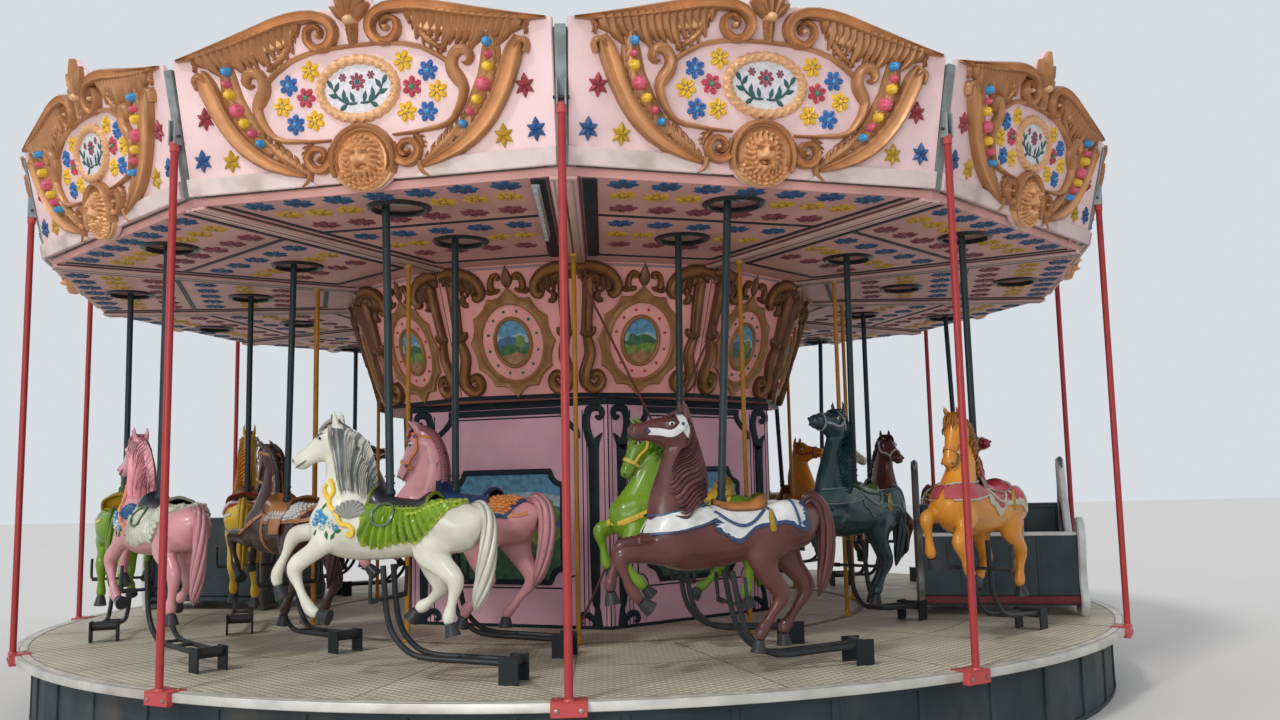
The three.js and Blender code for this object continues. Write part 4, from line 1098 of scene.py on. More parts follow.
def crown_panel(kind, bronze, stud, rim, paints):
    shape = Shape()
    slope = math.hypot((CROWN_RADII[1] - CROWN_RADII[0]) * math.cos(SECTOR / 2), CEILING - CROWN_FOOT)
    t0 = 0.445

    def seam(t):
        return (CROWN_RADII[0] + (CROWN_RADII[1] - CROWN_RADII[0]) * t / slope) * math.sin(SECTOR / 2)

    outline = []
    for a in np.linspace(0, 2 * math.pi, 96, endpoint=False):
        cusp = 1 - 0.085 * abs(math.sin(6 * a)) ** 0.8
        tip = 0.035 * max(0.0, 1 - abs(abs(a - math.pi) - math.pi / 2) / 0.26)
        outline.append((0.342 * cusp * math.cos(a), t0 + (0.392 * cusp + tip) * math.sin(a)))
    ring, hollow = [], oval(0, t0, 0.243, 0.292, 96)
    for k, (s, t) in enumerate(outline):
        inner_s, inner_t = hollow[k]
        ring.append([(s, t, 0.0), (s, t, 0.016), (s * 0.97, t0 + (t - t0) * 0.975, 0.024),
                     ((s + inner_s) / 2, (t + inner_t) / 2, 0.014),
                     (inner_s * 1.05, t0 + (inner_t - t0) * 1.04, 0.026),
                     (inner_s, inner_t, 0.018), (inner_s, inner_t, 0.0)])
    points, faces = skin(ring, closed=True)
    shape.add(points, [face[::-1] for face in faces], bronze)
    oval_band(shape, 0, t0, 0.143, 0.185, 0.016, 0.026, bronze)
    for k in range(12):
        a = (k + 0.5) * math.pi / 6
        dome(shape, 0.2 * math.cos(a), t0 + 0.245 * math.sin(a), 0.0125, 0.0125, 0.012, stud, sides=8)
    crown_scene(shape, t0, paints, kind)
    band(shape, [(0, 0.862, 0.012, 0.015), (0, 0.905, 0.044, 0.024), (0, 0.945, 0.043, 0.026),
                 (0, 1.005, 0.02, 0.022), (0, 1.036, 0.003, 0.012)], bronze, CREST)
    for side in (1, -1):
        for section, rows in ((COVE, [(0.06, 0.855, 0.01, 0.02), (0.1, 0.842, 0.022, 0.03),
                                      (0.128, 0.872, 0.025, 0.032), (0.122, 0.925, 0.022, 0.032),
                                      (0.098, 0.962, 0.02, 0.032), (0.066, 0.955, 0.019, 0.03),
                                      (0.068, 0.925, 0.014, 0.028)]),
                              (ARCH, [(0.1, 0.842, 0.02, 0.028), (0.148, 0.832, 0.02, 0.028),
                                      (0.166, 0.858, 0.015, 0.026)])):
            band(shape, mirrored(rows, side), bronze, section)
        dome(shape, side * 0.08, 0.935, 0.018, 0.018, 0.034, bronze, sides=8)

        def from_seam(rows, swell=1.0):
            return [(side * (seam(t) - q), t, half * swell, high * (1 + swell) / 2)
                    for q, t, half, high in rows]

        band(shape,
             from_seam([(0.012, 0.985, 0.028, 0.028), (0.1, 1.0, 0.034, 0.036), (0.2, 0.985, 0.036, 0.038),
                               (0.275, 0.945, 0.034, 0.038), (0.318, 0.885, 0.03, 0.036),
                        (0.318, 0.825, 0.027, 0.034),
                               (0.285, 0.795, 0.023, 0.032), (0.258, 0.815, 0.018, 0.03)], 1.3), bronze, COVE)
        for q, t, reach in ((0.03, 0.965, 0.06), (0.075, 0.965, 0.085), (0.12, 0.96, 0.105),
                            (0.165, 0.95, 0.125), (0.21, 0.935, 0.125), (0.25, 0.91, 0.1)):
            band(shape, from_seam([(q, t, 0.018, 0.03), (q + 0.012, t - reach * 0.55, 0.019, 0.03),
                                   (q - 0.008, t - reach, 0.004, 0.016)], 1.5), bronze, CREST)
        for section, swell, rows in (
                (ARCH, 1.5,
                 [(0.19, 0.825, 0.01, 0.02), (0.165, 0.79, 0.018, 0.03), (0.175, 0.752, 0.016, 0.03),
                             (0.205, 0.752, 0.012, 0.026)]),
                (COVE, 1.9, [(0.165, 0.875, 0.012, 0.026), (0.16, 0.912, 0.017, 0.032),
                             (0.125, 0.925, 0.02, 0.034), (0.094, 0.9, 0.022, 0.034),
                             (0.094, 0.85, 0.022, 0.032), (0.09, 0.74, 0.022, 0.03),
                             (0.082, 0.62, 0.021, 0.03), (0.074, 0.515, 0.02, 0.03)]),
                (ARCH, 1.6, [(0.052, 0.525, 0.012, 0.028), (0.06, 0.495, 0.02, 0.034),
                             (0.095, 0.49, 0.02, 0.036), (0.126, 0.512, 0.017, 0.034),
                             (0.13, 0.545, 0.013, 0.03)]),
                (COVE, 1.4, [(0.07, 0.485, 0.02, 0.03), (0.092, 0.42, 0.027, 0.034), (0.1, 0.34, 0.03, 0.034),
                             (0.078, 0.26, 0.031, 0.034), (0.056, 0.185, 0.032, 0.036),
                             (0.062, 0.115, 0.031, 0.038), (0.108, 0.072, 0.03, 0.04),
                             (0.165, 0.085, 0.028, 0.04), (0.19, 0.14, 0.025, 0.038),
                             (0.168, 0.19, 0.022, 0.036), (0.124, 0.182, 0.018, 0.034),
                             (0.118, 0.148, 0.014, 0.032)])):
            band(shape, from_seam(rows, swell), bronze, section)
        dome(shape, side * (seam(0.145) - 0.142), 0.145, 0.02, 0.02, 0.042, bronze, sides=8)
    line = finish("crown_line", BLACK, rough=0.5, dirt_and_shade=0.0, shine=0.15)
    half = seam(0) - 0.001
    shape.add(*plate([(-half, 0.0), (half, 0.0), (half, 0.034), (-half, 0.034)], 0.0, 0.008, 0.002), line)
    half = seam(slope - 0.02) - 0.004
    shape.add(*plate([(-half, slope - 0.03), (half, slope - 0.03), (half, slope - 0.012),
                      (-half, slope - 0.012)],
                     0.0, 0.012, 0.003), finish("crown_cornice", (0.3, 0.22, 0.24), rough=0.5))
    return shape.mesh("crown_panel_" + rim, keep=KEEP["crown"])


def crown():
    pink = finish("crown_pink", CROWN_PINK, rough=0.42, mottle=0.12, scale=3, dirt_and_shade=0.3,
                  grime_and_shade=(0.26, 0.13, 0.11))
    paint_cad("crown", pink)
    # Crown bronze: darker hollows are partly dirt and partly painted shade; lighter ridges are partly wear
    # and partly painted highlight.
    bronze = finish("crown_bronze", BRONZE, rough=0.42, metal=0.15, mottle=0.2, scale=10, dirt_and_shade=0.25,
                    grime_and_shade=(0.08, 0.03, 0.014), ridge_tone=0.4, wear_and_highlight_colour=(0.46, 0.24, 0.1), bump=0.3)
    paints = scene_paints()
    lean = math.atan2((CROWN_RADII[1] - CROWN_RADII[0]) * math.cos(SECTOR / 2), CEILING - CROWN_FOOT)
    panels = [crown_panel(0, bronze, finish("stud_red", (0.52, 0.05, 0.05), rough=0.3), "even", paints),
              crown_panel(1, bronze, finish("stud_green", (0.03, 0.16, 0.08), rough=0.3), "odd", paints)]
    dark = finish("crown_seam", (0.22, 0.1, 0.09), rough=0.6)
    seams = Shape()
    for sector in range(SECTORS):
        angle = (sector + 0.5) * SECTOR
        place = panel_place(angle, CROWN_RADII[0] * math.cos(SECTOR / 2), CROWN_FOOT, lean)
        piece(f"crown_{sector:02d}_carving", panels[sector % 2], "platform", place)
        edge = on_ring(sector * SECTOR)
        seams.add(*rod((CROWN_RADII[0], 0, CROWN_FOOT), (CROWN_RADII[1] - 0.002, 0, CEILING - 0.006),
                       0.0035, 6), dark, edge)
    piece("crown_seams", seams.mesh("crown_seams"), "platform")


def notched(half, low, high, notch, steps=6):
    """Rectangle with concave round corners, anticlockwise."""
    outline = []
    for sx, top, first in ((1, False, 180), (1, True, 270), (-1, True, 0), (-1, False, 90)):
        corner = (sx * half, high if top else low)
        angles = np.radians(np.linspace(first, first - 90, steps + 1))
        outline += [(corner[0] + notch * math.cos(a), corner[1] + notch * math.sin(a)) for a in angles]
    return outline


def outline_band(shape, outline, half, height, paint):
    """Flat frame of even width along a closed outline."""
    outline = np.asarray(outline, float)
    out = outline_right(outline)
    rings = []
    for (s, t), (a, b) in zip(outline, out):
        rings.append([(s + a * half * u, t + b * half * u, height * v) for u, v in FLAT[::-1]])
    points, faces = skin(rings, closed=True)
    shape.add(points, faces, paint)


def drum_face(black, pale, paints):
    shape = Shape()
    outline_band(shape, notched(0.6, 0.3, 1.62, 0.1), 0.006, 0.003, black)
    top = [(-0.62, 1.44, 0.018, 0.01), (-0.61, 1.5, 0.022, 0.012), (-0.56, 1.545, 0.022, 0.012),
           (-0.51, 1.6, 0.024, 0.012), (-0.49, 1.655, 0.022, 0.012)]
    for side in (1, -1):
        band(shape, mirrored(top, -side), black, FLAT)
    strip(shape, -0.52, 1.665, 0.52, 1.665, 0.026, 0.01, black)
    strip(shape, -0.868, 1.722, 0.868, 1.722, 0.026, 0.014, black)
    half, low, high, notch = 0.465, 0.365, 1.175, 0.105
    outline_band(shape, notched(0.485, 0.345, 1.195, notch, 8), 0.022, 0.012, black)

    def cut(level, paint, top_edge):
        columns = []
        for s in np.linspace(-half, half, 47):
            past = half + 0.02 - abs(s)
            inset = math.sqrt(max(0.0, notch ** 2 - past ** 2)) if past < notch else 0.0
            trim = max(0.0, inset - 0.02)
            columns.append((s, low + trim, max(low, min(high - trim, top_edge(s)))))
        field(shape, columns, paints[paint], level)

    cut(0.003, "sky", lambda s: 9)
    cut(0.0036, "haze", lambda s: 1.02 + 0.02 * math.sin(9 * s))
    cut(0.0042, "hill", lambda s: 0.9 + 0.06 * math.sin(5.2 * s + 0.5))
    cut(0.0048, "leaf", lambda s: 0.8 + 0.05 * math.sin(13 * s) + 0.03 * math.sin(37 * s))
    cut(0.0054, "wood", lambda s: 0.7 + 0.06 * math.sin(8 * s + 2) + 0.02 * math.sin(45 * s))
    cut(0.006, "grass", lambda s: 0.56 + 0.05 * math.sin(7 * s + 1) + 0.015 * math.sin(52 * s))
    rng = random.Random(3)
    for s, t, r in ((-0.1, 0.98, 0.085), (-0.02, 0.92, 0.09), (-0.17, 0.9, 0.07), (0.33, 0.93, 0.075),
                    (0.39, 0.86, 0.07), (0.28, 0.84, 0.065), (-0.36, 0.84, 0.07), (0.12, 0.78, 0.075)):
        wobble = [(s + r * (1 + rng.uniform(-0.12, 0.12)) * x, t + r * (1 + rng.uniform(-0.12, 0.12)) * y)
                  for x, y in circle(14)]
        shape.add(*plate(wobble, 0.0045, 0.0075, 0.002), paints["leaf" if s > 0.2 or s < -0.1 else "wood"])
    for side in (1, -1):
        for s, wide in ((0.655, 0.004), (0.69, 0.0035), (0.835, 0.003)):
            strip(shape, side * s, 0.02, side * s, 1.66, wide, 0.003, black)
        stem = [(0.755, 0.16, 0.014, 0.012), (0.752, 0.24, 0.026, 0.014), (0.748, 0.6, 0.03, 0.014),
                (0.748, 1.0, 0.032, 0.014), (0.748, 1.34, 0.034, 0.014), (0.748, 1.39, 0.04, 0.014)]
        foot = [(0.755, 0.2, 0.01, 0.012), (0.765, 0.12, 0.02, 0.012), (0.76, 0.02, 0.034, 0.012)]
        fork = [(0.748, 1.36, 0.03, 0.014), (0.715, 1.44, 0.026, 0.014), (0.695, 1.52, 0.024, 0.014),
                (0.693, 1.6, 0.024, 0.014), (0.715, 1.665, 0.024, 0.014)]
        spike = [(0.752, 1.37, 0.026, 0.014), (0.785, 1.43, 0.018, 0.012), (0.822, 1.475, 0.004, 0.01)]
        hook = [(0.7, 1.655, 0.024, 0.016), (0.75, 1.672, 0.022, 0.018), (0.805, 1.665, 0.02, 0.018),
                (0.825, 1.625, 0.017, 0.018), (0.8, 1.592, 0.015, 0.018), (0.77, 1.608, 0.011, 0.016)]
        curl = [(0.74, 0.06, 0.016, 0.012), (0.69, 0.1, 0.018, 0.014), (0.64, 0.105, 0.018, 0.014),
                (0.61, 0.065, 0.016, 0.014), (0.64, 0.035, 0.012, 0.012)]
        for rows in (stem, foot, fork, spike, hook, curl):
            band(shape, mirrored(rows, side, 1.28), black, FLAT)
        strip(shape, side * 0.53, 0.02, side * 0.53, 0.3, 0.003, 0.002, pale)
    strip(shape, -0.868, 0.012, 0.868, 0.012, 0.012, 0.008, black)
    return shape.mesh("drum_face")


def drum():
    mauve = finish("drum_mauve", MAUVE, rough=0.45, mottle=0.1, scale=2.5, dirt_and_shade=0.25,
                   grime_and_shade=(0.26, 0.14, 0.16))
    paint_cad("centre_drum", mauve)
    black = finish("drum_black", (0.008, 0.018, 0.023), rough=0.45, mottle=0.2, dirt_and_shade=0.0, shine=0.15)
    pale = finish("drum_line", (0.22, 0.12, 0.15), rough=0.5)
    face = drum_face(black, pale, scene_paints())
    seams = Shape()
    reach = DRUM_RADIUS - 0.001
    for k in range(6):
        angle = DRUM_TURN + (k + 0.5) * DRUM_SECTOR
        place = panel_place(angle, DRUM_RADIUS * math.cos(DRUM_SECTOR / 2), DECK_TOP + 0.0003)
        piece(f"drum_{k}_face", face, "platform", place)
        seams.add(*rod((reach, 0, DECK_TOP + 0.002), (reach, 0, CROWN_FOOT - 0.001), 0.005, 6), black,
                  on_ring(DRUM_TURN + k * DRUM_SECTOR))
    piece("drum_seams", seams.mesh("drum_seams"), "platform")


# Roof

def roof():
    material = finish("roof_skin", (0.62, 0.6, 0.54), rough=0.6, mottle=0.12, scale=1.5, dirt_and_shade=0.5,
                      grime_and_shade=(0.2, 0.19, 0.15))
    nodes, links = material.node_tree.nodes, material.node_tree.links
    shader = nodes["Principled BSDF"]
    through = nodes.new("ShaderNodeBsdfTranslucent")
    through.inputs["Color"].default_value = (0.85, 0.85, 0.8, 1)
    both = nodes.new("ShaderNodeMixShader")
    both.inputs["Fac"].default_value = 0.35
    output = next(node for node in nodes if node.type == "OUTPUT_MATERIAL")
    links.new(shader.outputs[0], both.inputs[1])
    links.new(through.outputs[0], both.inputs[2])
    links.new(both.outputs[0], output.inputs["Surface"])
    paint_cad("roof_cover", material)
    rib = finish("roof_rib", (0.42, 0.41, 0.38), rough=0.6, dirt_and_shade=0.5)
    shape = Shape()
    slope = (ROOF_TOP - ROOF_EDGE) / (ROOF_RADII[1] - ROOF_RADII[0])
    for k in range(SECTORS):
        place = on_ring(k * SECTOR)
        rings = []
        for x in (0.3, 4.27):
            z = ROOF_TOP - slope * (x - ROOF_RADII[0]) - 0.003
            rings.append([(x, y, z + rise) for y, rise in
                          ((-0.022, -0.004), (0.022, -0.004), (0.018, 0.008), (-0.018, 0.008))])
        shape.add(*skin(rings), rib, place)
    shape.add(*lathe([(0.0, 4.915), (0.275, 4.915), (0.275, 4.926), (0.2, 4.9295), (0.0, 4.9298)], 48), rib)
    piece("roof_ribs", shape.mesh("roof_ribs"), "platform")


# Horses, in the horse's own frame: x forward, y outward, z up from the deck, swing arms level

PIVOT = Vector((-0.7, 0.0, 0.115))
SADDLE_EYE = Vector((0.08, 0.0, 1.03))
TRUNK_MIDDLE = 0.82

TRUNK = [(-0.5, 0, 0.84, 0.06, 0.06), (-0.46, 0, 0.85, 0.11, 0.1), (-0.38, 0, 0.845, 0.14, 0.145),
         (-0.25, 0, 0.83, 0.145, 0.158), (-0.08, 0, 0.82, 0.148, 0.15), (0.12, 0, 0.818, 0.172, 0.155),
         (0.3, 0, 0.83, 0.188, 0.152), (0.43, 0, 0.845, 0.17, 0.138), (0.52, 0, 0.855, 0.115, 0.105),
         (0.565, 0, 0.86, 0.045, 0.045)]
NECKS = {
    "raised": [(0.36, 0, 0.93, 0.185, 0.115), (0.355, 0, 1.03, 0.17, 0.1), (0.324, 0, 1.17, 0.142, 0.082),
               (0.296, 0, 1.31, 0.11, 0.068), (0.282, 0, 1.42, 0.078, 0.058), (0.28, 0, 1.46, 0.056, 0.045)],
    "level": [(0.35, 0, 0.93, 0.185, 0.115), (0.345, 0, 1.03, 0.165, 0.1), (0.355, 0, 1.14, 0.14, 0.082),
              (0.385, 0, 1.25, 0.118, 0.07), (0.43, 0, 1.34, 0.09, 0.06), (0.465, 0, 1.375, 0.06, 0.045)],
    "tucked": [(0.335, 0, 0.93, 0.172, 0.115), (0.3, 0, 1.03, 0.138, 0.098), (0.268, 0, 1.14, 0.11, 0.08),
               (0.262, 0, 1.24, 0.092, 0.068), (0.292, 0, 1.335, 0.08, 0.058),
               (0.35, 0, 1.392, 0.056, 0.045)],
}
NECKS["bowed"] = NECKS["tucked"]
CRESTS = {
    "raised": [(0.242, 1.515), (0.217, 1.41), (0.192, 1.31), (0.168, 1.17), (0.18, 1.05)],
    "level": [(0.425, 1.425), (0.33, 1.375), (0.25, 1.29), (0.195, 1.17), (0.165, 1.06)],
    "tucked": [(0.35, 1.425), (0.255, 1.37), (0.195, 1.26), (0.17, 1.16), (0.165, 1.06)],
}
CRESTS["bowed"] = CRESTS["tucked"]
HEAD_PLACES = {"raised": (0.255, 1.52, 2), "level": (0.43, 1.432, -31), "tucked": (0.372, 1.438, -62),
               "bowed": (0.372, 1.438, -62)}
EARS = {"raised": (0.02, 1.25), "level": (-0.024, 0.85), "tucked": (-0.015, 0.95), "bowed": (-0.015, 0.95)}
HEAD_ROWS = [(-0.03, -0.085, 0.07, 0.046), (0.04, -0.086, 0.098, 0.064), (0.11, -0.086, 0.1, 0.066),
             (0.175, -0.078, 0.078, 0.054), (0.235, -0.076, 0.06, 0.044), (0.285, -0.078, 0.055, 0.044),
             (0.325, -0.082, 0.05, 0.042), (0.35, -0.086, 0.03, 0.028)]

# Each leg from its root to the pastern: x, z, half size, half size across; then the hoof's tip
GAITS = {
    "canter": {
        "near_front": ([(0.33, 0.88, 0.115, 0.06), (0.41, 0.78, 0.09, 0.058), (0.5, 0.69, 0.062, 0.046),
                        (0.615, 0.595, 0.047, 0.042), (0.575, 0.47, 0.032, 0.03), (0.51, 0.365, 0.036, 0.034),
                        (0.455, 0.335, 0.031, 0.031)], (0.385, 0.318)),
        "far_front": ([(0.34, 0.89, 0.115, 0.06), (0.46, 0.83, 0.085, 0.056), (0.6, 0.795, 0.06, 0.044),
                       (0.725, 0.765, 0.048, 0.042), (0.785, 0.65, 0.032, 0.03), (0.835, 0.535, 0.036, 0.034),
                       (0.825, 0.465, 0.031, 0.031)], (0.785, 0.395)),
        "near_rear": ([(-0.3, 0.86, 0.15, 0.07), (-0.23, 0.73, 0.125, 0.072), (-0.29, 0.64, 0.078, 0.052),
                       (-0.375, 0.555, 0.05, 0.042), (-0.362, 0.44, 0.034, 0.032),
                       (-0.345, 0.355, 0.038, 0.035), (-0.355, 0.315, 0.032, 0.032)], (-0.372, 0.25)),
        "far_rear": ([(-0.28, 0.86, 0.15, 0.07), (-0.15, 0.73, 0.12, 0.07), (-0.16, 0.61, 0.075, 0.05),
                      (-0.215, 0.5, 0.048, 0.042), (-0.16, 0.425, 0.034, 0.032),
                      (-0.105, 0.385, 0.037, 0.034), (-0.075, 0.36, 0.032, 0.032)], (-0.035, 0.305)),
    },
    "gallop": {
        "near_front": ([(0.33, 0.88, 0.115, 0.06), (0.44, 0.78, 0.09, 0.058), (0.59, 0.775, 0.062, 0.046),
                        (0.725, 0.775, 0.048, 0.042), (0.715, 0.66, 0.032, 0.03), (0.672, 0.56, 0.036, 0.034),
                        (0.635, 0.515, 0.031, 0.031)], (0.58, 0.465)),
        "far_front": ([(0.34, 0.89, 0.115, 0.06), (0.45, 0.83, 0.085, 0.056), (0.57, 0.815, 0.06, 0.044),
                       (0.675, 0.8, 0.048, 0.042), (0.725, 0.7, 0.032, 0.03), (0.755, 0.615, 0.036, 0.034),
                       (0.758, 0.565, 0.031, 0.031)], (0.752, 0.498)),
        "near_rear": ([(-0.28, 0.86, 0.15, 0.07), (-0.13, 0.73, 0.125, 0.072), (-0.13, 0.6, 0.078, 0.052),
                       (-0.205, 0.465, 0.05, 0.042), (-0.135, 0.36, 0.034, 0.032),
                       (-0.065, 0.27, 0.038, 0.035), (-0.045, 0.225, 0.032, 0.032)], (-0.03, 0.155)),
        "far_rear": ([(-0.3, 0.86, 0.15, 0.07), (-0.31, 0.73, 0.125, 0.07), (-0.37, 0.6, 0.078, 0.052),
                      (-0.445, 0.47, 0.05, 0.042), (-0.365, 0.35, 0.034, 0.032),
                      (-0.285, 0.255, 0.038, 0.035), (-0.27, 0.215, 0.032, 0.032)], (-0.27, 0.15)),
    },
}
GAITS["walk"] = dict(
    GAITS["canter"],
    near_front=([(0.33, 0.88, 0.115, 0.06), (0.4, 0.77, 0.09, 0.058), (0.455, 0.68, 0.062, 0.046),
                 (0.515, 0.6, 0.047, 0.042), (0.455, 0.505, 0.032, 0.03), (0.39, 0.425, 0.036, 0.034),
                 (0.35, 0.39, 0.031, 0.031)], (0.305, 0.34)),
    far_front=([(0.34, 0.89, 0.115, 0.06), (0.44, 0.82, 0.085, 0.056), (0.53, 0.775, 0.06, 0.044),
                (0.605, 0.745, 0.048, 0.042), (0.585, 0.64, 0.032, 0.03), (0.565, 0.545, 0.036, 0.034),
                (0.545, 0.505, 0.031, 0.031)], (0.51, 0.445)))
GAIT_OF = {"raised": "gallop", "level": "canter", "tucked": "gallop", "bowed": "walk"}
LEG_SPREAD = 0.088
LEG_SWELL = (1.0, 1.02, 0.96, 1.1, 0.84, 1.06, 0.9)


def head_matrix(pose):
    """Head coordinates a towards the muzzle, y across, b towards the brow."""
    x, z, tilt = HEAD_PLACES[pose]
    return Matrix.Translation((x, 0, z)) @ Matrix.Rotation(-math.radians(tilt), 4, "Y")


def ellipsoid(centre, radii, sides=14, rings=8):
    made = []
    for a in np.linspace(-math.pi / 2 + 0.15, math.pi / 2 - 0.15, rings):
        made.append([(centre[0] + radii[0] * math.cos(a) * x, centre[1] + radii[1] * math.cos(a) * y,
                      centre[2] + radii[2] * math.sin(a)) for x, y in circle(sides)])
    return skin(made)


def leg_rows(pose):
    for name, (rows, tip) in GAITS[GAIT_OF[pose]].items():
        y = LEG_SPREAD if name.startswith("near") else -LEG_SPREAD
        inner = 0.75
        made = [(x, y * (inner if i == 0 else 1), z, half * LEG_SWELL[i], across * LEG_SWELL[i])
                for i, (x, z, half, across) in enumerate(rows)]
        yield made, (tip[0], y, tip[1])


def horse_body(pose):
    """One smooth figure from overlapping lofts."""
    shape = Shape()
    shape.add(*loft(TRUNK, 16), None)
    shape.add(*loft(NECKS[pose], 14), None)
    place = head_matrix(pose)
    rows = [(a, 0, b, half, across) for a, b, half, across in HEAD_ROWS]
    shape.add(*loft(rows, 14), None, place)
    for side in (1, -1):
        shape.add(*ellipsoid((0.065, side * 0.038, -0.108), (0.068, 0.036, 0.062)), None, place)
        shape.add(*ellipsoid((0.318, side * 0.03, -0.062), (0.024, 0.02, 0.022)), None, place)
        shape.add(*ellipsoid((0.105, side * 0.054, -0.04), (0.034, 0.018, 0.022)), None, place)
        lean, tall = EARS[pose]
        ear = [(0.0, side * 0.036, -0.02, 0.024, 0.018),
               (lean * 0.5, side * 0.042, 0.024 * tall, 0.023, 0.014),
               (lean, side * 0.044, 0.056 * tall, 0.016, 0.01),
               (lean * 1.3, side * 0.042, 0.084 * tall, 0.004, 0.004)]
        shape.add(*loft(ear, 8), None, place)
        shape.add(*ellipsoid((-0.27, side * 0.085, 0.86), (0.15, 0.078, 0.13)), None)
        shape.add(*ellipsoid((0.37, side * 0.08, 0.86), (0.12, 0.07, 0.13)), None)
    for rows, _ in leg_rows(pose):
        shape.add(*loft(rows, 10, steps=5), None)
    mesh = bpy.data.meshes.new("rough_" + pose)
    mesh.from_pydata(np.vstack(shape.points).tolist(), [], shape.faces)
    rough = linked("rough_" + pose, mesh)
    remesh = rough.modifiers.new("remesh", "REMESH")
    remesh.mode = "VOXEL"
    remesh.voxel_size = 0.01
    relax = rough.modifiers.new("relax", "CORRECTIVE_SMOOTH")
    relax.use_only_smooth = True
    relax.iterations = 4
    relax.factor = 0.5
    rough.modifiers.new("thin", "DECIMATE").ratio = KEEP["body"]
    made = modified(rough, "horse_body_" + pose)
    made.materials.clear()
    made.shade_smooth()
    return made


class Surface:
    """Ray casts on a body: where straps, cloths and locks of hair lie."""

    def __init__(self, mesh):
        points = [v.co for v in mesh.vertices]
        self.tree = BVHTree.FromPolygons(points, [p.vertices for p in mesh.polygons])

    def side(self, x, z, out, offset):
        hit, normal, _, _ = self.tree.ray_cast(Vector((x, out * 0.6, z)), Vector((0, -out, 0)))
        if hit is None or hit.y * out < 0:
            return Vector((x, out * (0.02 + offset), z)), Vector((0, out, 0))
        return hit + normal * offset, normal

    def round(self, x, turn, offset):
        """Point of the trunk at station x, turned from the top towards the outward side."""
        ray = Vector((0, math.sin(turn), math.cos(turn)))
        core = Vector((x, 0, TRUNK_MIDDLE))
        hit = self.tree.ray_cast(core + ray * 0.45, -ray)[0]
        if hit is None:
            hit = core + ray * 0.15
        return hit + ray * offset, ray


def strap(shape, points, paint, half=0.01, thick=0.004, closed=False):
    """Flat strap that follows points with their outward directions."""
    spots = np.array([p for p, _ in points])
    outs = np.array([o for _, o in points])
    along = (np.roll(spots, -1, 0) - np.roll(spots, 1, 0)) if closed else np.gradient(spots, axis=0)
    side = unit(np.cross(unit(along), outs))
    rings = []
    for p, o, s in zip(spots, outs, side):
        rings.append([p - s * half - o * 0.002, p - s * half + o * thick * 0.6,
                      p - s * half * 0.7 + o * thick,
                      p + s * half * 0.7 + o * thick, p + s * half + o * thick * 0.6,
                      p + s * half - o * 0.002])
    shape.add(*skin(rings, closed=closed), paint)


def head_ring(place, at, lift, tilt=0.0, count=20):
    """Loop round the head at a station, with outward directions."""
    rows = np.array(HEAD_ROWS)
    made = []
    for k in range(count):
        turn = 2 * math.pi * k / count
        a = at + tilt * math.cos(turn)
        b = np.interp(a, rows[:, 0], rows[:, 1])
        half = np.interp(a, rows[:, 0], rows[:, 2]) + lift
        across = np.interp(a, rows[:, 0], rows[:, 3]) + lift
        out = Vector((0, math.sin(turn) / across, math.cos(turn) / half)).normalized()
        spot = place @ Vector((a, across * math.sin(turn), b + half * math.cos(turn)))
        made.append((spot, place.to_3x3() @ out))
    return made


def bridle(shape, pose, paint, trim, kind="plain"):
    """Head straps: thin has the cheek strap only, wide is broad with no noseband."""
    place = head_matrix(pose)
    turn3 = place.to_3x3()
    broad = {"plain": 1.0, "thin": 0.6, "wide": 2.3}[kind]
    strap(shape, head_ring(place, 0.02, 0.006, 0.03), paint, 0.01 * broad, closed=True)
    if kind == "thin":
        return
    if kind == "plain":
        strap(shape, head_ring(place, 0.245, 0.004), paint, 0.011, closed=True)
    for side in (1, -1):
        line = [(0.245, 0.05, -0.08), (0.18, 0.06, -0.085), (0.12, 0.078, -0.098), (0.07, 0.081, -0.075),
                (0.03, 0.07, -0.03)]
        points = [(place @ Vector((a, side * y, b)), turn3 @ Vector((0, side, 0.1)).normalized())
                  for a, y, b in smooth(line, 3)]
        strap(shape, points, paint, 0.009 * broad)
        for a, y, b in ((0.245, 0.052, -0.08), (0.045, 0.074, -0.045)):
            spot = place @ Vector((a, side * y, b))
            shape.add(*ellipsoid(spot, (0.014, 0.01, 0.014), 8, 4), trim)
    if kind == "plain":
        strap(shape, [(place @ Vector((0.062, y, 0.016)), turn3 @ Vector((0, 0, 1)))
                      for y in np.linspace(-0.055, 0.055, 7)], paint, 0.01)


def face_details(shape, pose, eye_white, eye_dark, inner):
    place = head_matrix(pose)
    for side in (1, -1):
        shape.add(*ellipsoid((0.108, side * 0.0655, -0.04), (0.0185, 0.0085, 0.012), 12, 7), eye_white, place)
        shape.add(*ellipsoid((0.11, side * 0.0725, -0.041), (0.0095, 0.004, 0.0095), 10, 6), eye_dark, place)
        shape.add(*ellipsoid((0.338, side * 0.0375, -0.06), (0.0085, 0.0065, 0.012), 8, 5), inner, place)
        lip = [(0.352, side * 0.016, -0.098, 0.004, 0.004), (0.325, side * 0.041, -0.103, 0.005, 0.004),
               (0.29, side * 0.0435, -0.104, 0.005, 0.004), (0.262, side * 0.043, -0.1, 0.002, 0.002)]
        shape.add(*loft(lip, 6, steps=2), inner, place)
        brow = [(0.085, side * 0.063, -0.02, 0.004, 0.004), (0.11, side * 0.068, -0.018, 0.005, 0.004),
                (0.135, side * 0.062, -0.028, 0.003, 0.003)]
        shape.add(*loft(brow, 6, steps=2), inner, place)
        lean, tall = EARS[pose]
        ear = [(0.012, side * 0.04, 0.006, 0.01, 0.006),
               (0.012 + lean * 0.5, side * 0.047, 0.028 * tall, 0.011, 0.005),
               (0.01 + lean, side * 0.048, 0.058 * tall, 0.005, 0.004)]
        shape.add(*loft(ear, 6, steps=2), inner, place)


def hooves(shape, pose, paint):
    for rows, tip in leg_rows(pose):
        x, y, z = rows[-1][:3]
        shape.add(*rod((x, y, z), tip, 0.03, 14, 0.047), paint)


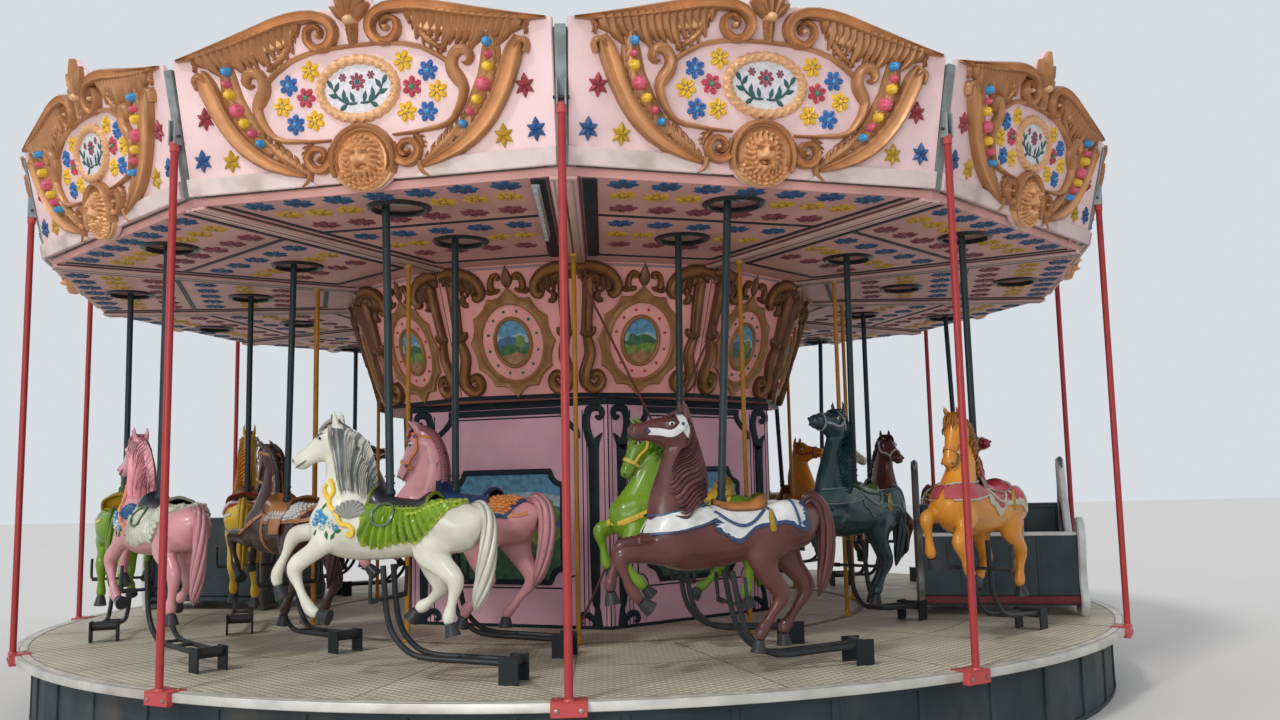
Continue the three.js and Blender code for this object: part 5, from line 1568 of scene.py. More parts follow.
def lock(shape, points, radius, paint, sides=6):
    """Lock of hair: a tube that swells and tapers along points."""
    rows = smooth([(*p, 0, 0) for p in points], 3)
    length = len(rows) - 1
    for i, row in enumerate(rows):
        swell = 0.55 + 0.45 * math.sin(math.pi * min(1.0, 0.15 + 0.85 * i / length))
        row[3] = row[4] = radius * swell * (1 - 0.85 * (i / length) ** 3)
    shape.add(*loft(rows, sides, steps=1), paint)


def hair_sheet(shape, surface, pose, paints, style, rng, steps=14):
    """Hair combed to the outward side: grooved strands from the crest, each ending in a point, with painted
    shade in the grooves.
    """
    light, shaded_valley, dark = paints
    straight = style == "long"
    strands, ridges = (32, (0.002, 0.015, 0.01)) if straight else (17, (0.002, 0.024, 0.016))
    crest = np.array(smooth(CRESTS[pose], 10))
    columns = 3 * strands + 1
    grid = []
    for c in range(columns):
        share = c / (columns - 1)
        x, z = [float(np.interp(share * (len(crest) - 1), range(len(crest)), crest[:, k])) for k in (0, 1)]
        start = Vector((x, z))
        if straight:
            start.x += 0.05 * (1 - share) ** 4 - 0.02 * math.sin(math.pi * share)
            start.y += 0.012 * math.sin(math.pi * share)
            end = Vector((0.335, 0.985)).lerp(Vector((0.12, 1.01)), share)
            bow = Vector((0.012 * math.sin(math.pi * share), 0.0))
        else:
            end = start + Vector((np.interp(share, (0, 0.25, 0.6, 1), (0.085, 0.185, 0.25, 0.25)),
                                  np.interp(share, (0, 0.25, 0.6, 1), (-0.21, -0.18, -0.15, -0.11))))
            bow = Vector((0.0, -0.03))
        tip = c % 3 == 1
        reach = 1.0 - (0.0 if tip else 0.07) - 0.12 * (rng.random() if tip else 0.5)
        row = [Vector((start.x - 0.01, 0.006, start.y + 0.012))]
        for k in range(1, steps + 1):
            t = reach * k / steps
            wave = (0.01 if straight else 0.014) * math.sin(8.0 * t + 5.0 * share + 0.8)
            at = start.lerp(end, t) + bow * (4 * t * (1 - t)) + Vector((wave * 0.5, wave))
            lift = 0.004 + ridges[c % 3] * min(1.0, 4 * t + 0.4) * min(1.0, 5 * (reach - t) + 0.25)
            row.append(surface.side(at.x, at.y, 1, lift)[0])
        grid.append(row)
    # Strands take the lighter paint, which is a painted highlight on coloured manes, or now and then the
    # mane's own colour; the faces down into each groove take painted shade.
    shades = [dark if rng.random() < 0.22 else light for _ in range(strands)]
    for c in range(columns - 1):
        faces = [[k, steps + 1 + k, steps + 2 + k, k + 1] for k in range(steps)]
        shape.add(grid[c] + grid[c + 1], faces, shaded_valley if c % 3 == 2 else shades[c // 3])


def mane(shape, surface, pose, style, paints, rng):
    paint = paints[2]
    crest = smooth(CRESTS[pose], 5)
    if style == "braid":
        for i in range(0, len(crest) - 1):
            x, z = crest[i]
            nx, nz = crest[i + 1]
            for side in (1, -1):
                start = Vector((x - 0.008, side * 0.028, z + 0.004))
                end = Vector((nx + 0.01, -side * 0.004, nz - 0.002))
                lock(shape, [start, start.lerp(end, 0.5) + Vector((-0.02, side * 0.016, 0.012)), end],
                     0.026, paint, 8)
        return
    ridge = [(x, 0, z, 0.018, 0.02) for x, z in crest]
    shape.add(*loft(ridge, 8, steps=1), paint)
    if style != "short":
        hair_sheet(shape, surface, pose, paints, style, rng)
        return
    for side in (1, -1):
        for i in range(0, len(crest) - 2):
            for layer in range(3):
                x, z = crest[i]
                x += rng.uniform(-0.012, 0.012) + 0.006 * layer
                z += rng.uniform(-0.012, 0.012)
                length = 0.1 * rng.uniform(0.75, 1.15) * (1.0 - 0.25 * (i > len(crest) * 0.75) - 0.12 * layer)
                back = rng.uniform(-0.3, 0.05)
                points = [Vector((x, side * 0.01, z + 0.012))]
                for step in range(1, 5):
                    t = step / 4
                    wave = 0.014 * math.sin(2.6 * math.pi * t + i * 0.9 + layer)
                    spot, _ = surface.side(x + 0.055 * t + back * 0.3 * t + wave, z - length * t, side,
                                           0.006 + 0.004 * layer)
                    points.append(spot)
                lock(shape, points, 0.0125, paint)


def forelock(shape, pose, paint, rng):
    place = head_matrix(pose)
    for k in range(5):
        y = (k - 2) * 0.014
        points = [place @ Vector((-0.01, y, 0.012)),
                  place @ Vector((0.035, y * 1.2 + rng.uniform(-0.006, 0.006), 0.03)),
                  place @ Vector((0.085, y * 1.5, 0.018)), place @ Vector((0.125, y * 1.3, 0.004))]
        lock(shape, points, 0.011, paint)


TAILS = {
    "straight": [(-0.43, 0, 0.955, 0.028, 0.03), (-0.485, 0, 0.955, 0.04, 0.036),
                 (-0.525, 0, 0.87, 0.046, 0.04), (-0.53, 0, 0.72, 0.05, 0.042),
                 (-0.51, 0, 0.56, 0.052, 0.04), (-0.48, 0, 0.43, 0.036, 0.026),
                 (-0.468, 0, 0.372, 0.006, 0.006)],
    "full": [(-0.43, 0, 0.95, 0.03, 0.03), (-0.48, 0, 0.985, 0.046, 0.04), (-0.535, 0, 0.93, 0.054, 0.044),
             (-0.56, 0, 0.8, 0.056, 0.044), (-0.55, 0, 0.64, 0.05, 0.04), (-0.515, 0, 0.5, 0.036, 0.028),
             (-0.48, 0, 0.415, 0.006, 0.006)],
}


def tail(shape, style, paints, strands=6, sides=48):
    """Tail of twisted strands with a deep groove between neighbours, painted darker in the grooves as painted
    shade.
    """
    rows = smooth(TAILS[style], 8)
    side, normal = frames(rows[:, :3], (0, 1, 0))
    turn = 4.2 if style == "straight" else 1.6
    groove = [abs(math.sin(strands * math.pi * k / sides)) ** 0.6 for k in range(sides)]
    rings = []
    for i, row in enumerate(rows):
        ring = []
        for k in range(sides):
            a = 2 * math.pi * k / sides - turn * i / (len(rows) - 1)
            swell = 0.76 + 0.32 * groove[k] + 0.04 * math.sin(8 * math.pi * k * strands / sides)
            ring.append(row[:3] + normal[i] * math.cos(a) * row[3] * swell
                        + side[i] * math.sin(a) * row[4] * swell)
        rings.append(ring)
    points, faces = skin(rings)
    for face in faces:
        # Faces in the grooves take the second paint: painted shade.
        shaded_valley = len(face) == 4 and min(groove[j % sides] for j in face) < 0.2
        shape.add([points[j] for j in face], [list(range(len(face)))], paints[1 if shaded_valley else 0])


def cloth(shape, surface, rear, front, reach, paints, pleats=0.0, thick=0.01, across=34, along=22):
    """Cloth over the trunk; rear and front give its edges along x at a share of the reach down each side."""
    turns = np.linspace(-1.0, 1.0, across + 1)
    top, bottom = [], []
    for down in turns:
        share = abs(down)
        x0, x1 = rear(share), front(share)
        row_top, row_low = [], []
        for k in range(along + 1):
            u = k / along
            x = x0 + (x1 - x0) * u
            turn = down * reach(x)
            edge = min(1.0, 6 * min(u, 1 - u, (1 - share) * 1.6) + 0.35)
            fold = 0.0
            if pleats:
                angle = math.atan2(x, 0.35 * share + 0.12)
                fold = pleats * (0.4 + math.sin(60.0 * angle)) * share ** 0.7
            spot, _ = surface.round(x, turn, 0.006 + thick * edge + fold)
            low, _ = surface.round(x, turn, 0.001)
            row_top.append(spot)
            row_low.append(low)
        top.append(row_top)
        bottom.append(row_low)
    count = along + 1
    points = [p for row in top for p in row] + [p for row in bottom for p in row]
    offset = len(turns) * count
    for i in range(across):
        for k in range(along):
            a, b = i * count + k, i * count + k + 1
            c, d = b + count, a + count
            border = min(k, along - 1 - k, i, across - 1 - i)
            paint = paints[min(border, len(paints) - 1)]
            shape.add([points[j] for j in (a, b, c, d)], [[0, 1, 2, 3]], paint)
    for line in ([i * count for i in range(across + 1)], [i * count + along for i in range(across + 1)],
                 list(range(count)), [across * count + k for k in range(count)]):
        for a, b in zip(line[:-1], line[1:]):
            wall = [points[a], points[b], points[b + offset], points[a + offset]]
            shape.add(wall, [[0, 1, 2, 3]], paints[0])


def saddle(shape, surface, paint, trim, kind="flapped"):
    """Seat with a pommel and a cantle; flapped has a flap down each side, pad is thin and low."""
    first, last, front_rise, back_rise, rest, spread = {
        "flapped": (-0.2, 0.165, 0.07, 0.055, 0.02, 0.95), "seat": (-0.2, 0.165, 0.05, 0.045, 0.014, 0.72),
        "pad": (-0.19, 0.13, 0.006, 0.034, 0.02, 0.55), "high": (-0.24, 0.15, 0.035, 0.12, 0.016, 0.72)}[kind]
    rings = []
    for x in np.linspace(first, last, 15):
        u = (x - first) / (last - first)
        rise = rest + back_rise * math.exp(-((u - 0.06) / 0.13) ** 2)
        rise += front_rise * math.exp(-((u - 0.93) / 0.1) ** 2)
        taper = math.sqrt(1.05 - (2 * u - 1) ** 4) if kind == "pad" else 1.0 - 0.5 * abs(u - 0.5) ** 2
        reach = spread * taper
        ring = []
        for turn in np.linspace(-reach, reach, 15):
            share = abs(turn) / reach
            spot, _ = surface.round(x, turn, 0.016 + rise * (1 - share ** 2.5))
            ring.append(spot)
        rings.append(ring)
    shape.add([p for ring in rings for p in ring], grid_faces(15, 15), paint)
    for edge in (rings[0], rings[-1]):
        rows = [(*p, 0.01, 0.01) for p in edge]
        shape.add(*loft(rows, 8, (0, 0.3, 1), steps=2), trim)
    for k in (0, 14):
        rows = [(*ring[k], 0.008, 0.008) for ring in rings]
        shape.add(*loft(rows, 6, (0, 0.3, 1), steps=2), trim)
    if kind != "flapped":
        return
    for side in (1, -1):
        flap = []
        for turn in np.linspace(0.75, 1.75, 8):
            wide = 0.085 - 0.02 * abs(turn - 1.1)
            flap.append([surface.round(x, side * turn, 0.02)[0]
                         for x in np.linspace(-0.03 - wide, -0.03 + wide, 7)])
        shape.add([p for row in flap for p in row], grid_faces(8, 7), paint)
        border = [flap[i][0] for i in range(8)] + flap[7][1:] + [flap[i][6] for i in range(6, -1, -1)]
        shape.add(*loft([(*p, 0.006, 0.006) for p in border], 6, (0, 0.2, 1), steps=1), trim)


def collar(shape, surface, paint, trim):
    """Broad breast collar with a line along both edges."""
    half = 0.052
    for side in (1, -1):
        for lift, wide, shift, colour in ((0.004, half, 0.0, paint), (0.007, 0.006, half, trim),
                                          (0.007, 0.006, -half, trim)):
            line = [surface.side(0.17 + 0.375 * u, 0.935 - 0.012 * u + 0.03 * (1 - u) ** 2 + shift, side,
                                 lift)
                    for u in np.linspace(0, 1, 12)]
            strap(shape, line, colour, wide, 0.007)


def harness(shape, surface, paint, trim):
    """Girth, breast strap and crupper."""
    low = 0.8
    girth = [surface.round(0.17, turn, 0.003) for turn in np.linspace(0.9, 2 * math.pi - 0.9, 26)]
    strap(shape, girth, paint, 0.02)
    points = [[surface.side(0.1 + 0.42 * u, 0.98 - (0.98 - low) * u, side, 0.004)
               for u in np.linspace(0, 1, 9)]
              for side in (1, -1)]
    front, _, _, _ = surface.tree.ray_cast(Vector((1.2, 0, low)), Vector((-1, 0, 0)))
    middle = [(front + Vector((0.004, 0, 0)), Vector((1, 0, 0)))] if front else []
    strap(shape, points[0] + middle + points[1][::-1], paint, 0.017)
    for spot, normal in points[0][2:9:2] + points[1][2:9:2]:
        shape.add(*ellipsoid(spot + normal * 0.004, (0.012, 0.01, 0.012), 8, 4), trim)
    if middle:
        shape.add(*ellipsoid(middle[0][0] + Vector((0.008, 0, 0)), (0.014, 0.026, 0.026), 10, 5), trim)
    for side in (1, -1):
        line = [surface.side(x, z, side, 0.004) for x, z in
                ((-0.2, 0.93), (-0.27, 0.9), (-0.34, 0.88), (-0.41, 0.885), (-0.455, 0.9))]
        strap(shape, line, paint, 0.012)


def swing_arms():
    """Black tubes from the hub to the belly, with the footrest across."""
    black = finish("arm_black", (0.01, 0.017, 0.022), rough=0.36, mottle=0.2, scale=14, dirt_and_shade=0.14,
                   grime_and_shade=(0.05, 0.042, 0.036), shine=0.2)
    shape = Shape()
    line = [(-0.7, 0.115), (-0.42, 0.117), (-0.22, 0.12), (-0.1, 0.15), (0.0, 0.245), (0.045, 0.38),
            (0.075, 0.62)]
    for side in (1, -1):
        rows = [(x, side * 0.066, z, 0.017, 0.017) for x, z in line]
        shape.add(*loft(rows, 12, steps=5), black)
    hub = [(PIVOT.x, y, PIVOT.z, radius, radius) for y, radius in
           ((-0.084, 0.03), (-0.08, 0.034), (0.08, 0.034), (0.084, 0.03))]
    shape.add(*loft(hub, 18, (0, 0, 1), steps=1), black)
    for x in (-0.36, -0.16):
        shape.add(*rod((x, -0.066, 0.118), (x, 0.066, 0.118), 0.011, 10), black)
    rest, low = 0.066, 0.435
    foot = [(rest, y, z, 0.011, 0.011) for y, z in
            ((-0.229, 0.598), (-0.229, 0.47), (-0.218, 0.438), (-0.19, low), (0.19, low), (0.218, 0.438),
             (0.229, 0.47), (0.229, 0.598))]
    shape.add(*loft(foot, 10, (1, 0, 0), steps=3), black)
    for side in (1, -1):
        shape.add(*rod((rest, side * 0.15, low), (rest, side * 0.222, low), 0.016, 10), black)
    return shape.mesh("swing_arms")


# What each horse wears, and its paint colours

TEAL = (0.009, 0.036, 0.044)
WHITE = (0.63, 0.61, 0.51)
ROSE = (0.6, 0.22, 0.26)
SOFT_PINK = (0.57, 0.255, 0.275)
BROWN = (0.098, 0.028, 0.023)
DARK_BROWN = (0.045, 0.016, 0.012)
LIME = (0.145, 0.275, 0.01)
AMBER = (0.56, 0.21, 0.012)
TAN = (0.36, 0.15, 0.05)
NAVY = (0.01, 0.042, 0.12)
SILVER = (0.52, 0.52, 0.5)
STRAW = (0.66, 0.42, 0.03)
OX_RED = (0.3, 0.012, 0.015)
ORANGE = (0.55, 0.17, 0.02)
CHARCOAL = (0.022, 0.025, 0.032)
IRON = (0.19, 0.21, 0.225)
PEARL = (0.56, 0.56, 0.54)
COPPER = (0.4, 0.15, 0.045)
GREEN = (0.165, 0.275, 0.01)
YELLOW_GREEN = (0.32, 0.41, 0.02)

PARTS = ("pose", "coat", "hair", "style", "cloth", "fabric", "trim", "seat", "strap")


def wears(*values, **more):
    """One horse's look: the parts in their order, and what only some have by name."""
    return dict(zip(PARTS, values), **more)


LOOKS = {
    (0, "outer"): wears("raised", BROWN, (0.15, 0.064, 0.062), "wave", "draped", PEARL, NAVY, COPPER,
                        PEARL, border=3),
    (0, "inner"): wears("bowed", LIME, (0.1, 0.25, 0.008), "short", "plain", STRAW, STRAW, STRAW, STRAW,
                        saddle="high"),
    (1, "outer"): wears("bowed", AMBER, (0.46, 0.15, 0.01), "short", "draped", (0.36, 0.03, 0.045),
                        (0.4, 0.37, 0.28), (0.36, 0.02, 0.04), (0.46, 0.15, 0.01), saddle="seat",
                        bridle="plain", border=6),
    (1, "inner"): wears("raised", TEAL, (0.014, 0.05, 0.056), "wave", "draped", (0.02, 0.06, 0.06),
                        (0.1, 0.14, 0.13), (0.06, 0.16, 0.03), (0.2, 0.25, 0.25), saddle="pad",
                        bridle="plain"),
    (3, "outer"): wears("raised", OX_RED, (0.2, 0.01, 0.012), "wave", "trimmed", DARK_BROWN, STRAW, TAN,
                        STRAW),
    (3, "inner"): wears("level", BROWN, DARK_BROWN, "short", "plain", OX_RED, SILVER, CHARCOAL, SILVER),
    (4, "outer"): wears("level", WHITE, IRON, "long", "pleated", NAVY, STRAW, CHARCOAL, ROSE),
    (4, "inner"): wears("raised", AMBER, (0.58, 0.2, 0.01), "wave", "trimmed", CREAM, OX_RED, TAN,
                        OX_RED),
    (5, "outer"): wears("raised", SOFT_PINK, ROSE, "wave", "scaled", ORANGE, NAVY, NAVY, ORANGE),
    (5, "inner"): wears("bowed", LIME, (0.1, 0.25, 0.008), "short", "plain", STRAW, OX_RED, STRAW, STRAW,
                        saddle="high"),
    (6, "outer"): wears("level", TEAL, (0.01, 0.032, 0.036), "long", "trimmed", CREAM, OX_RED, TAN,
                        SILVER),
    (6, "inner"): wears("raised", WHITE, IRON, "wave", "plain", OX_RED, STRAW, CHARCOAL, ROSE),
    (7, "outer"): wears("raised", DARK_BROWN, (0.03, 0.012, 0.01), "wave", "trimmed", STRAW, CREAM, TAN,
                        CREAM),
    (7, "inner"): wears("level", SOFT_PINK, ROSE, "braid", "scaled", SILVER, NAVY, NAVY, SILVER),
    (9, "outer"): wears("level", LIME, (0.1, 0.25, 0.008), "short", "plain", STRAW, STRAW, STRAW, STRAW,
                        saddle="high"),
    (9, "inner"): wears("raised", STRAW, AMBER, "wave", "trimmed", SILVER, OX_RED, TAN, SILVER),
    (10, "outer"): wears("level", SOFT_PINK, (0.58, 0.24, 0.27), "long", "pleated", (0.5, 0.5, 0.42),
                         (0.4, 0.42, 0.3), CHARCOAL, ROSE, shell=(0.03, 0.2, 0.5),
                         ribbon=(0.6, 0.2, 0.08)),
    (10, "inner"): wears("tucked", DARK_BROWN, (0.07, 0.022, 0.03), "braid", "scaled", SILVER, TAN, TAN,
                         TAN),
    (11, "outer"): wears("level", WHITE, IRON, "long", "pleated", GREEN, YELLOW_GREEN, CHARCOAL, ROSE),
    (11, "inner"): wears("tucked", SOFT_PINK, ROSE, "braid", "scaled", ORANGE, NAVY, NAVY, ORANGE),
}


def colour_name(colour):
    return "_".join(str(round(c * 1000)) for c in colour)


def gloss(kind, colour):
    """Glossy painted moulding; coats carry darker colour in their hollows, partly dirt and partly painted
    shade, and lighter colour on their ridges, partly wear and partly painted highlight.
    """
    settings = {
        "coat": dict(rough=0.3, mottle=0.16, scale=5, dirt_and_shade=0.34, coat=0.25, ridge_tone=0.1),
        "hair": dict(rough=0.36, mottle=0.2, scale=9, dirt_and_shade=0.3, coat=0.15, ridge_tone=0.15),
        "cloth": dict(rough=0.38, mottle=0.18, scale=12, dirt_and_shade=0.45, coat=0.15, ridge_tone=0.1),
        "tack": dict(rough=0.34, mottle=0.12, scale=12, dirt_and_shade=0.3, coat=0.2, ridge_tone=0.1),
    }[kind]
    grime_and_shade = tuple(0.35 * c for c in colour)
    ridge_wear_and_highlight = tuple(0.5 * c + 0.35 for c in colour)
    return finish(f"{kind}_{colour_name(colour)}", colour, grime_and_shade=grime_and_shade, wear_and_highlight_colour=ridge_wear_and_highlight, **settings)


def scallop(x):
    """How far a draped cloth reaches round the side: points under the girth and the croup."""
    return 1.3 + 0.52 * math.exp(-((x - 0.05) / 0.08) ** 2) + 0.32 * math.exp(-((x + 0.36) / 0.07) ** 2)


def horse_cloth(shape, surface, look):
    fabric, trim = gloss("cloth", look["fabric"]), gloss("tack", look["trim"])
    style = look["cloth"]
    if style == "pleated":
        cloth(shape, surface, lambda v: -0.4 + 0.24 * v ** 1.6, lambda v: 0.175 + 0.02 * v,
              lambda x: 1.98 + 0.22 * math.exp(-((x - 0.08) / 0.1) ** 2), [trim, fabric], pleats=0.015,
              across=56, along=70)
        for side in (1, -1):
            edge = [surface.round(x, side * turn, 0.02) for x, turn in
                    ((-0.37, 0.25), (-0.35, 0.45), (-0.3, 0.66), (-0.23, 0.82), (-0.15, 0.92), (-0.07, 0.98))]
            for k, (spot, out) in enumerate(edge[:-1]):
                for step in range(3):
                    centre = spot.lerp(edge[k + 1][0], step / 3)
                    shape.add(*ellipsoid(centre, (0.016, 0.01 + 0.006 * abs(out.z), 0.014), 7, 4), trim)
        loop = [(0.05 + 0.062 * math.cos(a), 0.895 + 0.052 * math.sin(a))
                for a in np.linspace(0, 2 * math.pi, 22)[:-1]]
        strap(shape, [surface.side(x, z, 1, 0.028) for x, z in loop], gloss("tack", (0.03, 0.09, 0.02)),
              0.007, 0.008, closed=True)
    elif style == "draped":
        cloth(shape, surface, lambda v: -0.41 + 0.02 * v, lambda v: 0.19 - 0.01 * v, scallop,
              [trim] * look.get("border", 2) + [fabric], across=64, along=60, thick=0.006)
        collar(shape, surface, fabric, trim)
        for x in (-0.145, -0.285):
            for side in (1, -1):
                line = [surface.round(x - 0.03 * u, side * u, 0.014) for u in np.linspace(0.5, scallop(x), 9)]
                strap(shape, line, trim, 0.008, 0.006)
        for side in (1, -1):
            swag = [surface.round(0.165 - 0.31 * u, side * (0.6 + 0.62 * math.sin(math.pi * u)), 0.014)
                    for u in np.linspace(0, 1, 15)]
            strap(shape, swag, trim, 0.009, 0.006)
    elif style == "trimmed":
        cloth(shape, surface, lambda v: -0.4 + 0.06 * v, lambda v: 0.2 - 0.02 * v, lambda x: 1.2,
              [trim, fabric, fabric, trim, fabric])
    elif style == "scaled":
        cloth(shape, surface, lambda v: -0.44 + 0.1 * v, lambda v: 0.2 - 0.02 * v, lambda x: 1.3,
              [trim, trim, fabric], across=36, along=30)
        for i in range(9):
            for k in range(13):
                x = -0.37 + 0.038 * k + 0.019 * (i % 2)
                if x > 0.17 or x < -0.39 + 0.004 * i:
                    continue
                for side in (1, -1):
                    spot, out = surface.round(x, side * (0.3 + 0.095 * i), 0.014)
                    shape.add(*ellipsoid(spot, (0.02, 0.008 + 0.01 * abs(out.z), 0.016), 6, 3), fabric)
    else:
        cloth(shape, surface, lambda v: -0.3 + 0.1 * v, lambda v: 0.2 - 0.04 * v, lambda x: 0.95,
              [trim, fabric])


def tassel(shape, surface, paint):
    spot, _ = surface.side(-0.17, 0.91, 1, 0.022)
    rows = [(spot.x + x, spot.y, spot.z + z, half, across) for x, z, half, across in
            ((0.0, 0.04, 0.008, 0.008), (0.0, 0.0, 0.016, 0.014), (-0.005, -0.05, 0.022, 0.016),
             (-0.008, -0.09, 0.018, 0.012))]
    shape.add(*loft(rows, 9, steps=2), paint)


def on_flank(surface, x, z):
    """Place on the outward side, its Z along the surface's own direction and its Y upward."""
    spot, normal = surface.side(x, z, 1, 0.0)
    z_axis = normal.normalized()
    x_axis = UP.cross(z_axis).normalized()
    return axes(x_axis, z_axis.cross(x_axis), z_axis, spot)


def garland(shape, surface, look, rng):
    """Fan shell on the shoulder, two curled ribbons, and a bunch of flowers with leaves at the breast."""
    shell = gloss("tack", look.get("shell", (0.72, 0.72, 0.66)))
    ribbon = gloss("tack", look.get("ribbon", (0.72, 0.47, 0.02)))
    leaf = gloss("tack", (0.05, 0.28, 0.04))
    blues = [gloss("tack", colour) for colour in ((0.05, 0.33, 0.58), (0.66, 0.7, 0.66))]
    fan = Shape()
    for k in range(9):
        a = math.radians(-68 + 17 * k) + math.pi / 2
        x, y = math.cos(a), math.sin(a)
        rows = [(0.0, -0.045, 0.004, 0.016), (0.05 * x, -0.045 + 0.05 * y, 0.011, 0.026),
                (0.1 * x, -0.045 + 0.1 * y, 0.015, 0.024), (0.114 * x, -0.045 + 0.114 * y, 0.006, 0.01)]
        band(fan, rows, shell)
    shape.include(fan, on_flank(surface, 0.262, 0.925))
    for line in ([(0.42, 1.1), (0.395, 1.07), (0.385, 1.03), (0.405, 0.99), (0.39, 0.95), (0.35, 0.92),
                  (0.325, 0.88)],
                 [(0.325, 0.88), (0.3, 0.85), (0.255, 0.845), (0.225, 0.82), (0.235, 0.79), (0.265, 0.8)],
                 [(0.405, 0.99), (0.435, 1.01), (0.455, 1.045), (0.445, 1.075)]):
        path = [surface.side(x, z, 1, 0.004) for x, z in smooth(line, 4)]
        strap(shape, path, ribbon, 0.013, 0.012)
    for x, z, size, paint in ((0.455, 0.9, 0.036, 0), (0.415, 0.875, 0.032, 0), (0.475, 0.86, 0.028, 0),
                              (0.375, 0.855, 0.024, 1), (0.43, 0.835, 0.026, 1), (0.335, 0.83, 0.022, 0)):
        one = Shape()
        star(one, 0, 0, size, blues[paint], blues[1 - paint], petals=6, turn=rng.uniform(0, 2),
             height=0.45, base=0.004)
        shape.include(one, on_flank(surface, x, z))
    for x, z, turn in ((0.47, 0.815, 250), (0.4, 0.81, 280), (0.345, 0.8, 235), (0.445, 0.93, 60),
                       (0.3, 0.82, 200)):
        one = Shape()
        a = math.radians(turn)
        band(one, [(0, 0, 0.003, 0.004), (0.022 * math.cos(a), 0.022 * math.sin(a), 0.011, 0.008),
                   (0.05 * math.cos(a), 0.05 * math.sin(a), 0.002, 0.003)], leaf)
        shape.include(one, on_flank(surface, x, z))


def horse_frame(sector, row):
    """Place of the horse's own frame, and its lift at rest, from the joints."""
    level = deck_place(sector, ROWS[row])
    name = f"pole_{sector:02d}_{row}_lean"
    eye = next(joint for joint in frame["joints"] if joint["name"] == name)["pos_m"]
    local = level.inverted() @ Vector(eye) - PIVOT
    rest = SADDLE_EYE - PIVOT
    lift = math.atan2(local.z, local.x) - math.atan2(rest.z, rest.x)
    turn = Matrix.Translation(PIVOT) @ Matrix.Rotation(-lift, 4, "Y") @ Matrix.Translation(-PIVOT)
    return level @ turn, Vector(eye)


def tail_style(look):
    return "straight" if look["style"] in ("long", "short") else "full"


def horses():
    bodies = {pose: horse_body(pose) for pose in NECKS}
    surfaces = {pose: Surface(mesh) for pose, mesh in bodies.items()}
    arms = swing_arms()
    hoof = finish("hoof", (0.014, 0.022, 0.032), rough=0.34, dirt_and_shade=0.12, shine=0.25)
    eye_white = finish("eye_white", (0.7, 0.68, 0.62), rough=0.15, mottle=0.02, dirt_and_shade=0.0, bump=0.0)
    eye_dark = finish("eye_dark", (0.008, 0.007, 0.007), rough=0.08, mottle=0.0, dirt_and_shade=0.0, bump=0.0)
    for number, ((sector, row), look) in enumerate(LOOKS.items()):
        rng = random.Random(100 + number)
        name = f"{sector:02d}_{row}"
        place, eye = horse_frame(sector, row)
        pose, surface = look["pose"], surfaces[look["pose"]]
        coat, hair = gloss("coat", look["coat"]), gloss("hair", look["hair"])
        seat, strap_paint, trim = [gloss("tack", look[part]) for part in ("seat", "strap", "trim")]

        def part(kind, mesh):
            return piece(f"horse_{name}_{kind}", mesh, "horse_" + name, place)

        body = bodies[pose].copy()
        body.materials.append(coat)
        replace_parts(part("body", body), "horse_" + name)
        fur = Shape()
        # Lighter hair paint: 1.5 times the mane colour on coloured horses, a painted highlight on strands and
        # forelock; white horses keep plain white. The groove paint is painted shade between strands.
        base = WHITE if look["coat"] == WHITE else tuple(1.5 * c for c in look["hair"])
        groove = (0.27, 0.285, 0.29) if look["coat"] == WHITE else tuple(0.42 * c for c in look["hair"])
        mane(fur, surface, pose, look["style"], (gloss("hair", base), gloss("hair", groove), hair), rng)
        forelock(fur, pose, gloss("hair", base), rng)
        # The tail's second paint, the coat at 0.62, is painted shade in its grooves.
        tail(fur, tail_style(look), (coat, gloss("hair", tuple(0.62 * c for c in look["coat"]))))
        part("hair", fur.mesh("hair_" + name, keep=KEEP["hair"]))
        tack = Shape()
        horse_cloth(tack, surface, look)
        kind = look.get("saddle",
                        {"pleated": "seat", "draped": "pad", "plain": "seat"}.get(look["cloth"], "flapped"))
        saddle(tack, surface, seat, seat if kind == "pad" else trim, kind)
        if look["cloth"] not in ("pleated", "draped"):
            harness(tack, surface, strap_paint, trim)
        bridle(tack, pose, strap_paint, trim,
               look.get("bridle", {"pleated": "thin", "draped": "wide"}.get(look["cloth"], "plain")))
        if look["cloth"] == "draped":
            tassel(tack, surface, gloss("tack", STRAW))
        if look["cloth"] == "pleated":
            garland(tack, surface, look, rng)
        part("tack", tack.mesh("tack_" + name, keep=KEEP["tack"]))
        details = Shape()
        dark_coat = tuple(0.3 * c + 0.02 for c in look["coat"])
        face_details(details, pose, eye_white, eye_dark,
                     finish("face_" + colour_name(look["coat"]), dark_coat, rough=0.4))
        hooves(details, pose, hoof)
        part("face_and_hooves", details.mesh("details_" + name))
        part("arms", arms)
        pole(name, eye)


def pole(name, eye):
    """Hanging pole from the saddle eye towards the middle of its top in the frame."""
    node = frame["nodes"]["pole_" + name]
    points = np.array([v.co for v in node.data.vertices])
    top = Vector(points[points[:, 2] > points[:, 2].max() - 0.03].mean(0))
    black = finish("pole_teal_black", (0.012, 0.03, 0.036), rough=0.36, mottle=0.2, scale=10, dirt_and_shade=0.1,
                   grime_and_shade=(0.04, 0.04, 0.038), shine=0.2)
    along = (top - eye).normalized()
    shape = Shape()
    shape.add(*rod(eye - along * 0.02, top, 0.0235, 18), black)
    shape.add(*ellipsoid(eye, (0.033, 0.033, 0.031), 14, 8), black)
    for at in (0.05, 0.09):
        shape.add(*rod(eye + along * at, eye + along * (at + 0.012), 0.029, 18), black)
    thing = piece(f"pole_{name}_round", shape.mesh("pole_" + name), "pole_" + name)
    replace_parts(thing, "pole_" + name)


# Chariots, in the same kind of frame at the middle radius between the rows

